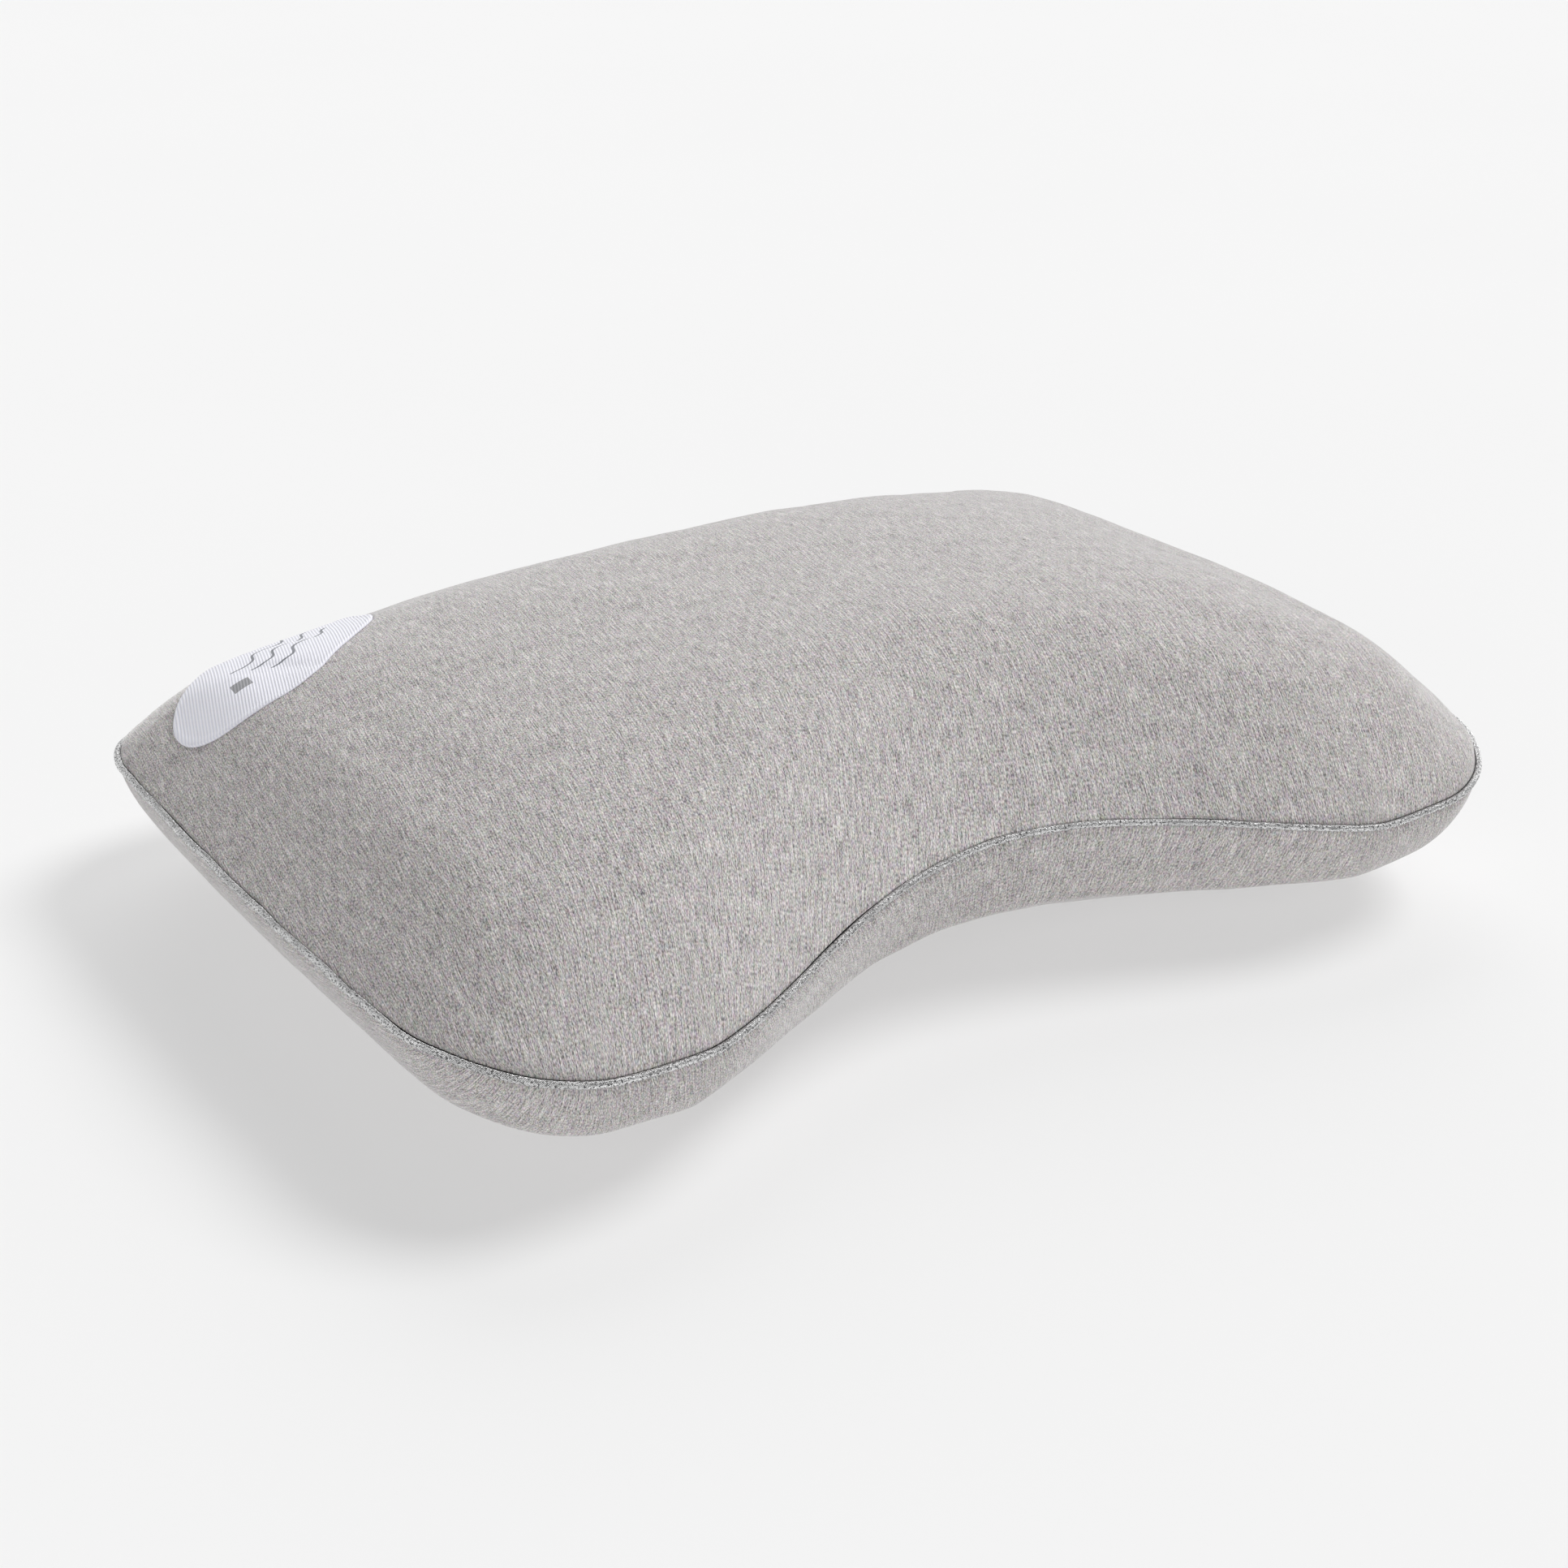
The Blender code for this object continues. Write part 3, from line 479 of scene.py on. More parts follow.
    def bottom_rings(self):
        flange = SLEEVE_WALL + 1.5 * GAP
        slot = SLOT_HEIGHT / BAND_LENGTH / 2
        band = (0.0, 0.14, 0.5 - slot, 0.42, 0.58, 0.5 + slot, 0.85, 1.0)
        rings = self.allowance(-flange)
        for share in band:
            inset, drop = BAND_TOP + (BAND_FOOT - BAND_TOP) * share
            curved = self.ring(False, inset)
            flat = self.seam_ring(inset, -drop, inset / BOTTOM_EDGE_WIDTH)
            rings.append(curved + (flat - curved) * self.zip_zone[:, None])
        rings += [self.ring(False, inset) for inset in LOWER_INSETS]
        rings += [self.ring(False, BOTTOM_EDGE_WIDTH, share) for share in np.linspace(0.0, 1.0, BOTTOM_STEPS)]
        return rings


# ---- meshes from operators


def unrolled(rings, seam):
    """Flat cloth coordinates in metres: each step out from the spine keeps its true length."""
    flat = [rings[-1][:, :2]]
    outward = -seam.inward
    for here, there in zip(rings[-2::-1], rings[:0:-1]):
        step = here - there
        length = np.linalg.norm(step, axis=1, keepdims=True)
        plan = step[:, :2]
        lean = np.linalg.norm(plan, axis=1, keepdims=True) / np.maximum(length, 1e-9)
        way = unit(unit(plan) * lean + outward * (1 - lean))
        flat.append(flat[-1] + way * length)
    return flat[::-1]


def laid_grid(points, uv=None, closed_round=True):
    """A grid of quads moved onto rows of points, with its ends merged where they meet."""
    points = np.asarray(points)
    if closed_round:
        points = np.concatenate((points, points[:, :1]), 1)
    rows, columns = points.shape[:2]
    bm = bmesh.new()
    bmesh.ops.create_grid(bm, x_segments=columns - 1, y_segments=rows - 1, size=1.0)
    layer = bm.loops.layers.uv.new(CLOTH_UV) if uv is not None else None
    places = [
        (round((vert.co.y + 1) / 2 * (rows - 1)), round((vert.co.x + 1) / 2 * (columns - 1))) for vert in bm.verts
    ]
    bm.verts.index_update()
    for vert, (row, column) in zip(bm.verts, places):
        vert.co = points[row, column]
    if layer:
        if closed_round and uv.shape[1] < columns:
            uv = np.concatenate((uv, uv[:, :1]), 1)
        for face in bm.faces:
            for loop in face.loops:
                loop[layer].uv = uv[places[loop.vert.index]]
    bmesh.ops.remove_doubles(bm, verts=bm.verts, dist=1e-5)
    return bm


def facing(bm, upwards):
    """Turns an open surface's faces up or down at its middle."""
    bmesh.ops.recalc_face_normals(bm, faces=bm.faces)
    middle = min(bm.faces, key=lambda face: face.calc_center_median().xy.length)
    if (middle.normal.z > 0) != upwards:
        bmesh.ops.reverse_faces(bm, faces=bm.faces)
    return bm


def block(low, high, bevel=0.0, segments=2):
    """A bevelled block between two corners."""
    bm = bmesh.new()
    size_of = [b - a for a, b in zip(low, high)]
    middle = [(a + b) / 2 for a, b in zip(low, high)]
    bmesh.ops.create_cube(bm, size=1.0, matrix=Matrix.Translation(middle) @ Matrix.Diagonal((*size_of, 1.0)))
    if bevel:
        bmesh.ops.bevel(
            bm, geom=bm.edges[:], offset=bevel, segments=segments, profile=0.5, affect="EDGES", material=-1
        )
    return bm


def gathered(meshes):
    """Joins several bmeshes into one."""
    whole = bmesh.new()
    for bm in meshes:
        spare = bpy.data.meshes.new("spare")
        bm.to_mesh(spare)
        bm.free()
        whole.from_mesh(spare)
        bpy.data.meshes.remove(spare)
    return whole


def piece(bm, name, finish, node, slot, body="cover", crease=None):
    """Makes an object of a bmesh, gives it its finish, and lets it ride in its CAD node's place."""
    mesh = bpy.data.meshes.new(name)
    bm.to_mesh(mesh)
    bm.free()
    mesh.materials.append(finish)
    mesh.shade_smooth()
    if crease:
        mesh.set_sharp_from_angle(angle=math.radians(crease))
    obj = bpy.data.objects.new(name, mesh)
    bpy.context.scene.collection.objects.link(obj)
    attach(obj, body)
    if node:
        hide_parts(*([node] if isinstance(node, str) else node))
    return obj


def smoothed(obj, levels=1):
    modifier = obj.modifiers.new("Smooth", "SUBSURF")
    modifier.levels = modifier.render_levels = levels
    return obj


def walled(obj, thickness, outward=False):
    modifier = obj.modifiers.new("Wall", "SOLIDIFY")
    modifier.thickness = thickness
    modifier.offset = 1.0 if outward else -1.0
    return obj


def surface_of(obj):
    """A search tree of an object's finished surface."""
    return BVHTree.FromObject(obj, bpy.context.evaluated_depsgraph_get())


# ---- materials


class Finish:
    """A node material under construction."""

    def __init__(self, name, roughness=0.8, metallic=0.0, **settings):
        self.material = bpy.data.materials.new(name)
        self.material.use_nodes = True
        self.tree = self.material.node_tree
        self.shader = self.tree.nodes["Principled BSDF"]
        self.shader.inputs["Roughness"].default_value = roughness
        self.shader.inputs["Metallic"].default_value = metallic
        for socket, value in settings.items():
            self.shader.inputs[socket.replace("_", " ")].default_value = value

    def add(self, kind, inputs=(), output=0, **settings):
        node = self.tree.nodes.new("ShaderNode" + kind)
        for name, value in settings.items():
            setattr(node, name, value)
        for key, value in dict(inputs).items():
            if isinstance(value, bpy.types.NodeSocket):
                self.tree.links.new(value, node.inputs[key])
            else:
                node.inputs[key].default_value = value
        return node.outputs[output]

    def cloth(self):
        return self.add("UVMap", uv_map=CLOTH_UV)

    def place(self):
        return self.add("TexCoord", output="Object")

    def mapped(self, vector, cell, turn=0.0, shift=(0.0, 0.0, 0.0)):
        """Coordinates in which one unit is one cell of the given size."""
        turned = self.add("Mapping", {"Vector": vector, "Rotation": (0, 0, turn), "Location": shift})
        return self.add("Mapping", {"Vector": turned, "Scale": [1 / side for side in cell]})

    def noise(self, vector, detail=2.0, roughness=0.5, output="Fac"):
        return self.add(
            "TexNoise",
            {"Vector": vector, "Scale": 1.0, "Detail": detail, "Roughness": roughness},
            output,
        )

    def waves(self, vector, pitch, distortion, direction="X"):
        """Stripes across the given direction, one to each pitch."""
        scaled = self.add("Mapping", {"Vector": vector, "Scale": [1 / pitch] * 3})
        return self.add(
            "TexWave",
            {"Vector": scaled, "Scale": math.pi / 10, "Distortion": distortion, "Detail": 1.0, "Detail Scale": 1.0},
            "Fac", bands_direction=direction,
        )

    def maths(self, operation, *values):
        return self.add("Math", dict(enumerate(values)), operation=operation)

    def ranged(self, value, low, high, to_low=0.0, to_high=1.0):
        return self.add(
            "MapRange",
            {"Value": value, "From Min": low, "From Max": high, "To Min": to_low, "To Max": to_high},
            interpolation_type="SMOOTHSTEP",
        )

    def mixed(self, share, first, second, blend="MIX"):
        node = self.tree.nodes.new("ShaderNodeMix")
        node.data_type = "RGBA"
        node.blend_type = blend
        for socket, value in zip((node.inputs[0], node.inputs[6], node.inputs[7]), (share, first, second)):
            if isinstance(value, bpy.types.NodeSocket):
                self.tree.links.new(value, socket)
            else:
                socket.default_value = (*value, 1.0) if isinstance(value, (tuple, list)) else value
        return node.outputs[2]

    def wears(self, colour=None, roughness=None, height=None, distance=0.0003, strength=0.6):
        """Connects what has been built to the shader and gives back the material."""
        if colour is not None:
            self.tree.links.new(colour, self.shader.inputs["Base Color"])
        if roughness is not None:
            self.tree.links.new(roughness, self.shader.inputs["Roughness"])
        if height is not None:
            bump = self.add("Bump", {"Height": height, "Distance": distance, "Strength": strength})
            self.tree.links.new(bump, self.shader.inputs["Normal"])
        return self.material


def tone(colour_value, factor=1.0):
    return tuple(min(part * factor, 1.0) for part in colour_value)


def knit_finish(name):
    """Heathered jersey: hair-fine light and dark yarns in streaks along the short way, over a mixed grain."""
    looks = looks_of()
    light, dark = tuple(looks.knit_light), tuple(looks.knit_dark)
    middle = tuple((a + b) / 2 for a, b in zip(light, dark))
    finish = Finish(name, roughness=0.92, Sheen_Weight=0.7, Sheen_Roughness=0.32)
    cloth = finish.mapped(finish.cloth(), (1, 1, 1), turn=STREAK_TURN)
    pale = finish.noise(finish.mapped(cloth, PALE_STREAK), detail=1.0)
    deep = finish.noise(finish.mapped(cloth, DARK_STREAK, shift=(0.31, 0.17, 0)), detail=1.0)
    fine = finish.noise(finish.mapped(cloth, YARN_GRAIN, shift=(0.11, 0.07, 0)), detail=2.0)
    mottle = finish.noise(finish.mapped(cloth, MOTTLE, shift=(0.5, 0.2, 0)), detail=3.0)
    tint = finish.noise(finish.mapped(cloth, YARN_TINT), detail=2.0, output="Color")
    wales = finish.waves(cloth, WALE_PITCH, distortion=0.8)
    bias = finish.maths("MULTIPLY", finish.maths("SUBTRACT", mottle, 0.5), 0.10)
    pale = finish.ranged(finish.maths("ADD", pale, bias), 0.50, 0.65)
    deep = finish.ranged(finish.maths("SUBTRACT", deep, bias), 0.50, 0.66)
    heather = finish.mixed(finish.maths("MULTIPLY", pale, 0.90), middle, light)
    heather = finish.mixed(finish.maths("MULTIPLY", deep, 0.78), heather, dark)
    grain = finish.mixed(finish.ranged(fine, 0.35, 0.66), tone(dark, 0.8), tone(light, 1.15))
    heather = finish.mixed(0.48, heather, grain)
    heather = finish.mixed(0.28, heather, tint, "OVERLAY")
    heather = finish.mixed(1.0, heather, finish.ranged(wales, 0.0, 0.6, 0.93, 1.0), "MULTIPLY")
    height = finish.maths("ADD", finish.maths("MULTIPLY", wales, 0.4), finish.maths("MULTIPLY", fine, 0.7))
    height = finish.maths("ADD", height, finish.maths("MULTIPLY", finish.maths("SUBTRACT", pale, deep), 0.35))
    return finish.wears(heather, height=height, distance=0.0004, strength=0.45)


def silver_finish(name):
    """Metallic thread wound slantwise round the piping, with glitter."""
    looks = looks_of()
    finish = Finish(name, roughness=0.28, metallic=1.0)
    cloth = finish.cloth()
    threads = finish.waves(finish.mapped(cloth, (1, 1, 1), turn=math.radians(38)), THREAD_PITCH, distortion=1.2)
    glitter = finish.noise(finish.mapped(cloth, GLITTER), detail=3.0, roughness=0.85)
    patches = finish.noise(finish.mapped(cloth, TARNISH), detail=2.0)
    silver = tuple(looks.silver)
    colour_now = finish.mixed(finish.ranged(glitter, 0.42, 0.51), tone(silver, 0.08), tone(silver, 1.08))
    colour_now = finish.mixed(finish.ranged(patches, 0.40, 0.65, 0.0, 0.30), colour_now, tone(silver, 0.30))
    colour_now = finish.mixed(1.0, colour_now, finish.ranged(threads, 0.0, 0.5, 0.80, 1.0), "MULTIPLY")
    roughness = finish.ranged(glitter, 0.3, 0.7, 0.5, 0.2)
    height = finish.maths("ADD", threads, finish.maths("MULTIPLY", glitter, 0.9))
    return finish.wears(colour_now, roughness, height, distance=0.0003, strength=0.9)


def badge_finish(name):
    """Pale ribbed cloth with three thin printed waves and a small diamond."""
    looks = looks_of()
    trim = trim_of()
    finish = Finish(name, roughness=0.55, Sheen_Weight=0.15)
    cloth = finish.cloth()
    ribs = finish.waves(finish.mapped(cloth, (1, 1, 1), turn=math.radians(58)), RIB_PITCH, distortion=0.15)
    weave = finish.noise(finish.mapped(cloth, RIB_WEAVE), detail=2.0)
    badge = tuple(looks.badge)
    ground = finish.mixed(finish.ranged(ribs, 0.1, 0.8), tone(badge, 0.90), tone(badge, 1.06))
    ground = finish.mixed(0.12, ground, finish.ranged(weave, 0.3, 0.7, 0.6, 1.0), "MULTIPLY")
    parts = finish.add("SeparateXYZ", {"Vector": cloth}).node.outputs
    x, y = parts[0], parts[1]
    inked = None
    for row in (-1, 0, 1):
        swing = finish.maths("SINE", finish.maths("MULTIPLY", x, 2 * math.pi / PRINT_WAVE_LENGTH))
        crest = finish.maths("MULTIPLY", swing, PRINT_WAVE_HEIGHT)
        off = finish.maths("SUBTRACT", finish.maths("SUBTRACT", y, row * PRINT_SPACING), crest)
        line = finish.ranged(finish.maths("ABSOLUTE", off), *PRINT_LINE, 1.0, 0.0)
        inked = line if inked is None else finish.maths("MAXIMUM", inked, line)
    reach = trim.badge_length * 0.24
    from_middle = finish.maths("ABSOLUTE", finish.maths("ADD", x, -PRINT_SHIFT))
    inside = finish.ranged(from_middle, reach, reach + 0.0006, 1.0, 0.0)
    inked = finish.maths("MULTIPLY", inked, inside)
    aside = finish.maths("ABSOLUTE", finish.maths("ADD", x, trim.badge_length * 0.27))
    diamond = finish.ranged(finish.maths("ADD", aside, finish.maths("ABSOLUTE", y)), *EMBLEM_SIZE, 1.0, 0.0)
    ground = finish.mixed(inked, ground, tuple(looks.print))
    ground = finish.mixed(diamond, ground, tuple(looks.emblem))
    height = finish.maths("ADD", ribs, finish.maths("MULTIPLY", weave, 0.25))
    return finish.wears(ground, height=height, distance=0.0005, strength=0.6)


def woven_finish(name, base, pitch=0.0005, roughness=0.85, contrast=0.7, slant=0.0, depth=0.0002):
    """Plain woven cloth or thread, on the piece's own place."""
    finish = Finish(name, roughness=roughness, Sheen_Weight=0.15)
    place = finish.mapped(finish.place(), (1, 1, 1), turn=slant)
    warp = finish.waves(place, pitch, distortion=0.4)
    weft = finish.waves(place, pitch * 1.1, distortion=0.4, direction="Z")
    cloud = finish.noise(finish.mapped(place, (0.006, 0.006, 0.006)), detail=3.0)
    height = finish.maths("MAXIMUM", warp, weft)
    cloth = finish.mixed(finish.ranged(height, 0.2, 0.9), tone(base, contrast), tone(base, 1.08))
    cloth = finish.mixed(0.3, cloth, finish.ranged(cloud, 0.3, 0.7, 0.75, 1.0), "MULTIPLY")
    return finish.wears(cloth, height=height, distance=depth, strength=0.5)


def metal_finish(name):
    """Brushed die-cast metal, dulled in patches."""
    base = tuple(looks_of().metal)
    finish = Finish(name, metallic=1.0)
    place = finish.place()
    brushed = finish.noise(finish.mapped(place, (0.004, 0.0002, 0.0002)), detail=2.0)
    worn = finish.noise(finish.mapped(place, (0.003, 0.003, 0.003)), detail=4.0)
    surface = finish.mixed(finish.ranged(worn, 0.35, 0.7), tone(base, 0.8), tone(base, 1.1))
    return finish.wears(surface, finish.ranged(brushed, 0.3, 0.7, 0.24, 0.42), brushed, distance=0.00003, strength=0.4)


def foam_finish(name):
    """Open-celled foam."""
    base = tuple(looks_of().foam)
    finish = Finish(name, roughness=0.95)
    place = finish.place()
    cells = finish.add("TexVoronoi", {"Vector": finish.mapped(place, (0.0012,) * 3), "Scale": 1.0}, "Distance")
    cloud = finish.noise(finish.mapped(place, (0.04,) * 3), detail=3.0)
    surface = finish.mixed(finish.ranged(cells, 0.0, 0.5), tone(base, 0.72), base)
    surface = finish.mixed(0.4, surface, finish.ranged(cloud, 0.3, 0.7, 0.85, 1.0), "MULTIPLY")
    return finish.wears(surface, height=cells, distance=0.0004, strength=0.6)


def floor_finish(name):
    glow = looks_of().floor_glow
    finish = Finish(name, roughness=0.95, Specular_IOR_Level=0.1, Emission_Color=(1, 1, 1, 1), Emission_Strength=glow)
    grain = finish.noise(finish.mapped(finish.place(), (0.5, 0.5, 0.5)), detail=2.0)
    base = tuple(looks_of().floor)
    return finish.wears(finish.mixed(finish.ranged(grain, 0.3, 0.7), tone(base, 0.995), tone(base, 1.005)))


# ---- cloth


def pressed_out(obj, pinned):
    """Swells a panel's cloth by simulation. Each point only moves outwards, and no further than the puff."""
    shape = shape_of()
    mesh = obj.data
    start = np.empty(len(mesh.vertices) * 3)
    mesh.vertices.foreach_get("co", start)
    start = start.reshape(-1, 3)
    holds = obj.vertex_groups.new(name="sewn")
    holds.add([index for index, co in enumerate(start) if pinned(co)], 1.0, "REPLACE")
    cloth = obj.modifiers.new("Cloth", "CLOTH")
    settings = cloth.settings
    for name, value in CLOTH_SETTINGS.items():
        setattr(settings, name, value)
    settings.uniform_pressure_force = shape.pressure
    settings.effector_weights.gravity = 0.0
    settings.vertex_group_mass = holds.name
    cloth.collision_settings.use_collision = False
    cloth.point_cache.frame_start, cloth.point_cache.frame_end = 1, CLOTH_FRAMES
    scene = bpy.context.scene
    for number in range(1, CLOTH_FRAMES + 1):
        scene.frame_set(number)
    evaluated = obj.evaluated_get(bpy.context.evaluated_depsgraph_get()).data
    end = np.empty(len(start) * 3)
    evaluated.vertices.foreach_get("co", end)
    obj.modifiers.remove(cloth)
    scene.frame_set(1)
    outward = np.empty(len(start) * 3)
    mesh.vertex_normals.foreach_get("vector", outward)
    outward = outward.reshape(-1, 3)
    swell = ((end.reshape(-1, 3) - start) * outward).sum(1, keepdims=True)
    now = start + outward * (shape.puff * np.tanh(np.maximum(swell, 0.0) / shape.puff))
    now[:, 2] = np.maximum(now[:, 2], np.minimum(start[:, 2], LEAST_LIFT))
    mesh.vertices.foreach_set("co", now.ravel())
    mesh.update()


def relaxed(obj, freedom):
    """Gives cloth the soft unevenness of a cover that isn't quite taut. freedom(co) is 0 where nothing may move."""
    bm = bmesh.new()
    bm.from_mesh(obj.data)
    bm.normal_update()
    moves = []
    for vert in bm.verts:
        wave = sum(share * noise.noise(vert.co / cell, noise_basis="PERLIN_ORIGINAL") for cell, share in SLACK_WAVES)
        moves.append(vert.normal * (wave * SLACK * freedom(vert.co)))
    for vert, move in zip(bm.verts, moves):
        vert.co += move
    bm.to_mesh(obj.data)
    bm.free()


def zip_frame():
    """Places the zip in the flat band below the back seam."""
    shape = shape_of()
    back = shape.depth / 2 + BACK_BOW + CENTRE_SHIFT
    top, foot = (Vector((0, back - inset, shape.seam_height - drop)) for inset, drop in (BAND_TOP, BAND_FOOT))
    up = (top - foot).normalized()
    axes = Matrix((Vector((1, 0, 0)), up.cross(Vector((1, 0, 0))), up)).transposed().to_4x4()
    return Matrix.Translation((top + foot) / 2) @ axes


# ---- operators, one for each piece or group of pieces


class MakeCover(bpy.types.Operator):
    """Make the knit cover's top and bottom panels"""

    bl_idname = "pillow.make_cover"
    bl_label = "Cover panels"

    def execute(self, context):
        shape = shape_of()
        seam = Seam(shape.fineness, shape.wobble)
        knit = knit_finish("heather_knit")
        slot_half = trim_of().zip_length / 2 + SLOT_MARGIN
        place = zip_frame().inverted()
        for name, rings, upwards in (
            ("cover_top", seam.top_rings(), True),
            ("cover_bottom", seam.bottom_rings(), False),
        ):
            bm = facing(laid_grid(rings, np.stack(unrolled(rings, seam))), upwards)
            if not upwards:
                cut = []
                for face in bm.faces:
                    x, y, z = place @ face.calc_center_median()
                    if abs(x) < slot_half and abs(y) < 0.002 and abs(z) < SLOT_HEIGHT / 2 - 1e-5:
                        cut.append(face)
                bmesh.ops.delete(bm, geom=cut, context="FACES")
            obj = piece(bm, name, knit, name + "_panel", "knit")
            sewn = {tuple(np.round(co, 5)) for ring in rings[:4] for co in ring}

            def pinned(co, upwards=upwards, sewn=sewn):
                x, y, z = place @ Vector(co)
                near_zip = not upwards and abs(x) < slot_half + 0.02 and abs(y) < 0.006 and abs(z) < 0.012
                return near_zip or tuple(np.round(co, 5)) in sewn

            pressed_out(obj, pinned)

            def freedom(co, upwards=upwards):
                x, y, z = place @ co
                if not upwards and abs(x) < slot_half + 0.04 and y > -0.02 and abs(z) < 0.03:
                    return 0.0
                return min(max(abs(co.z - shape.seam_height) / 0.02, 0.0), 1.0) if upwards or co.z > 0.002 else 0.0

            relaxed(obj, freedom)
            walled(smoothed(obj), KNIT)
        return {"FINISHED"}


class MakePiping(bpy.types.Operator):
    """Make the silver piping and the cord inside it"""

    bl_idname = "pillow.make_piping"
    bl_label = "Piping"

    def execute(self, context):
        shape = shape_of()
        radius = trim_of().piping_radius
        inner = radius - SLEEVE_WALL
        half, slit = SLEEVE_WALL + GAP / 2, GAP / 2
        tail = -radius - PIPING_CLEARANCE - SEAM_ALLOWANCE
        outer_turn = math.pi - math.asin(half / radius)
        inner_turn = math.pi - math.asin(slit / inner)
        outside = np.linspace(-outer_turn, outer_turn, 17)
        inside = np.linspace(inner_turn, -inner_turn, 7)
        self.sleeve(tail, outside, inside, half, slit)
        seam = Seam(16, shape.wobble)
        turns = np.linspace(0, 2 * np.pi, 8, endpoint=False)
        offsets = np.stack((np.cos(turns), np.sin(turns)), 1) * (inner - GAP)
        points = self.carried(seam, np.repeat(offsets[None], seam.count, 0))
        bm = self.closed_loop(points)
        piece(bm, "piping_cord_core", woven_finish("cord_cotton", (0.80, 0.80, 0.76)), "piping_cord", "cord")
        return {"FINISHED"}

    @staticmethod
    def carried(seam, offsets):
        """Carries (out, up) offsets round the seam."""
        flat = seam.point[:, None] - seam.inward[:, None] * offsets[..., :1]
        return np.concatenate((flat, seam.height[:, None, None] + offsets[..., 1:]), -1)

    @staticmethod
    def closed_loop(points, uv=None):
        points = np.concatenate((points, points[:1]))
        bm = laid_grid(points, uv)
        bmesh.ops.recalc_face_normals(bm, faces=bm.faces)
        return bm

    def sleeve(self, tail, outside, inside, half, slit):
        """Carries the sleeve's section round the seam, with the groove of its two wound strands."""
        radius = trim_of().piping_radius
        inner = radius - SLEEVE_WALL
        seam = Seam(38, shape_of().wobble)
        strands, lay = 2, seam.perimeter / round(seam.perimeter / PIPING_LAY)
        turn = 2 * np.pi * seam.travel[:, None] / lay + outside[None] * strands / 2
        swell = 1 - PIPING_GROOVE * (0.5 + 0.5 * np.cos(2 * turn)) * (np.cos(outside / 2)[None] ** 0.5)
        rim = np.stack((np.cos(outside), np.sin(outside)), 1)[None] * (radius * swell[..., None])
        rows = seam.count

        def fixed(pairs):
            return np.repeat(np.array(pairs)[None], rows, 0)

        hollow = np.stack((np.cos(inside), np.sin(inside)), 1) * inner
        flange = fixed([(tail, half), (tail, slit)])
        offsets = np.concatenate((fixed([(tail, -half)]), rim, flange, fixed(hollow), fixed([(tail, -slit)])), 1)
        points = self.carried(seam, offsets)
        travel = np.append(seam.travel, seam.perimeter)
        around = np.linalg.norm(np.diff(offsets[0], axis=0, append=offsets[0][:1]), axis=1)
        around = np.append(0, np.cumsum(around))
        uv = np.stack(np.broadcast_arrays(travel[:, None], around[None]), -1)
        bm = self.closed_loop(points, uv)
        piece(bm, "piping", silver_finish("silver_thread"), "piping_sleeve", "piping")


class MakeBadge(bpy.types.Operator):
    """Make the round-ended badge on the corner and the dark trim under it"""

    bl_idname = "pillow.make_badge"
    bl_label = "Corner badge"

    def execute(self, context):
        trim = trim_of()
        top = surface_of(bpy.data.objects["cover_top"])
        backing = woven_finish("trim_cloth", tuple(looks_of().trim))
        self.layer(
            top, "badge_backing", 0.0, trim.badge_edge, 0.0005, 12, backing, "badge_trim", "badge_trim",
            rim=0.0, aside=(0.0016, 0.0010),
        )
        self.layer(
            top, "badge", BADGE_SKIN, 0.0, trim.badge_wall + 0.0005, 44, badge_finish("badge_cloth"),
            "corner_badge", "badge", rim=0.0003,
        )
        return {"FINISHED"}

    def layer(self, top, name, lift, edge, height, rings, finish, node, slot, rim, aside=(0, 0)):
        """A round-ended patch laid on the panel, its edge turned down to it."""
        trim = trim_of()
        radius = trim.badge_width / 2 + edge
        reach = (trim.badge_length - trim.badge_width) / 2
        turns = np.linspace(-np.pi / 2, np.pi / 2, 49)
        along = np.linspace(reach, -reach, 29)[1:-1]
        centres = np.concatenate((np.full(49, reach), along, np.full(49, -reach), -along))
        spokes = np.concatenate((turns, np.full(27, np.pi / 2), turns + np.pi, np.full(27, -np.pi / 2)))
        distances = np.concatenate((BADGE_STEPS, np.linspace(0.005, radius, rings)))
        lifts = np.concatenate((BADGE_LIFTS, np.ones(rings)))
        swell = rim * np.sin(np.pi * np.clip(distances / BADGE_RIM_REACH, 0, 1)) ** 0.7
        place = Matrix.Translation((*trim.badge_centre, 0)) @ Matrix.Rotation(trim.badge_angle, 4, "Z")
        rows, uv = [], []
        for distance, share, bulge in zip(distances, lifts, swell):
            r = radius - distance
            flat = np.stack((centres + r * np.cos(spokes), r * np.sin(spokes)), 1) + aside
            row = []
            for x, y in flat:
                above = place @ Vector((x, y, 1.0))
                hit, normal, _, _ = top.ray_cast(above, Vector((0, 0, -1)))
                row.append(hit + normal * (0.0001 + lift * (share > 0) + (height - lift) * share + bulge))
            rows.append(row)
            uv.append(flat)
        bm = laid_grid(np.array(rows), np.array(uv))
        facing(bm, True)
        obj = piece(bm, name, finish, node, slot)
        walled(obj, BADGE_SKIN)


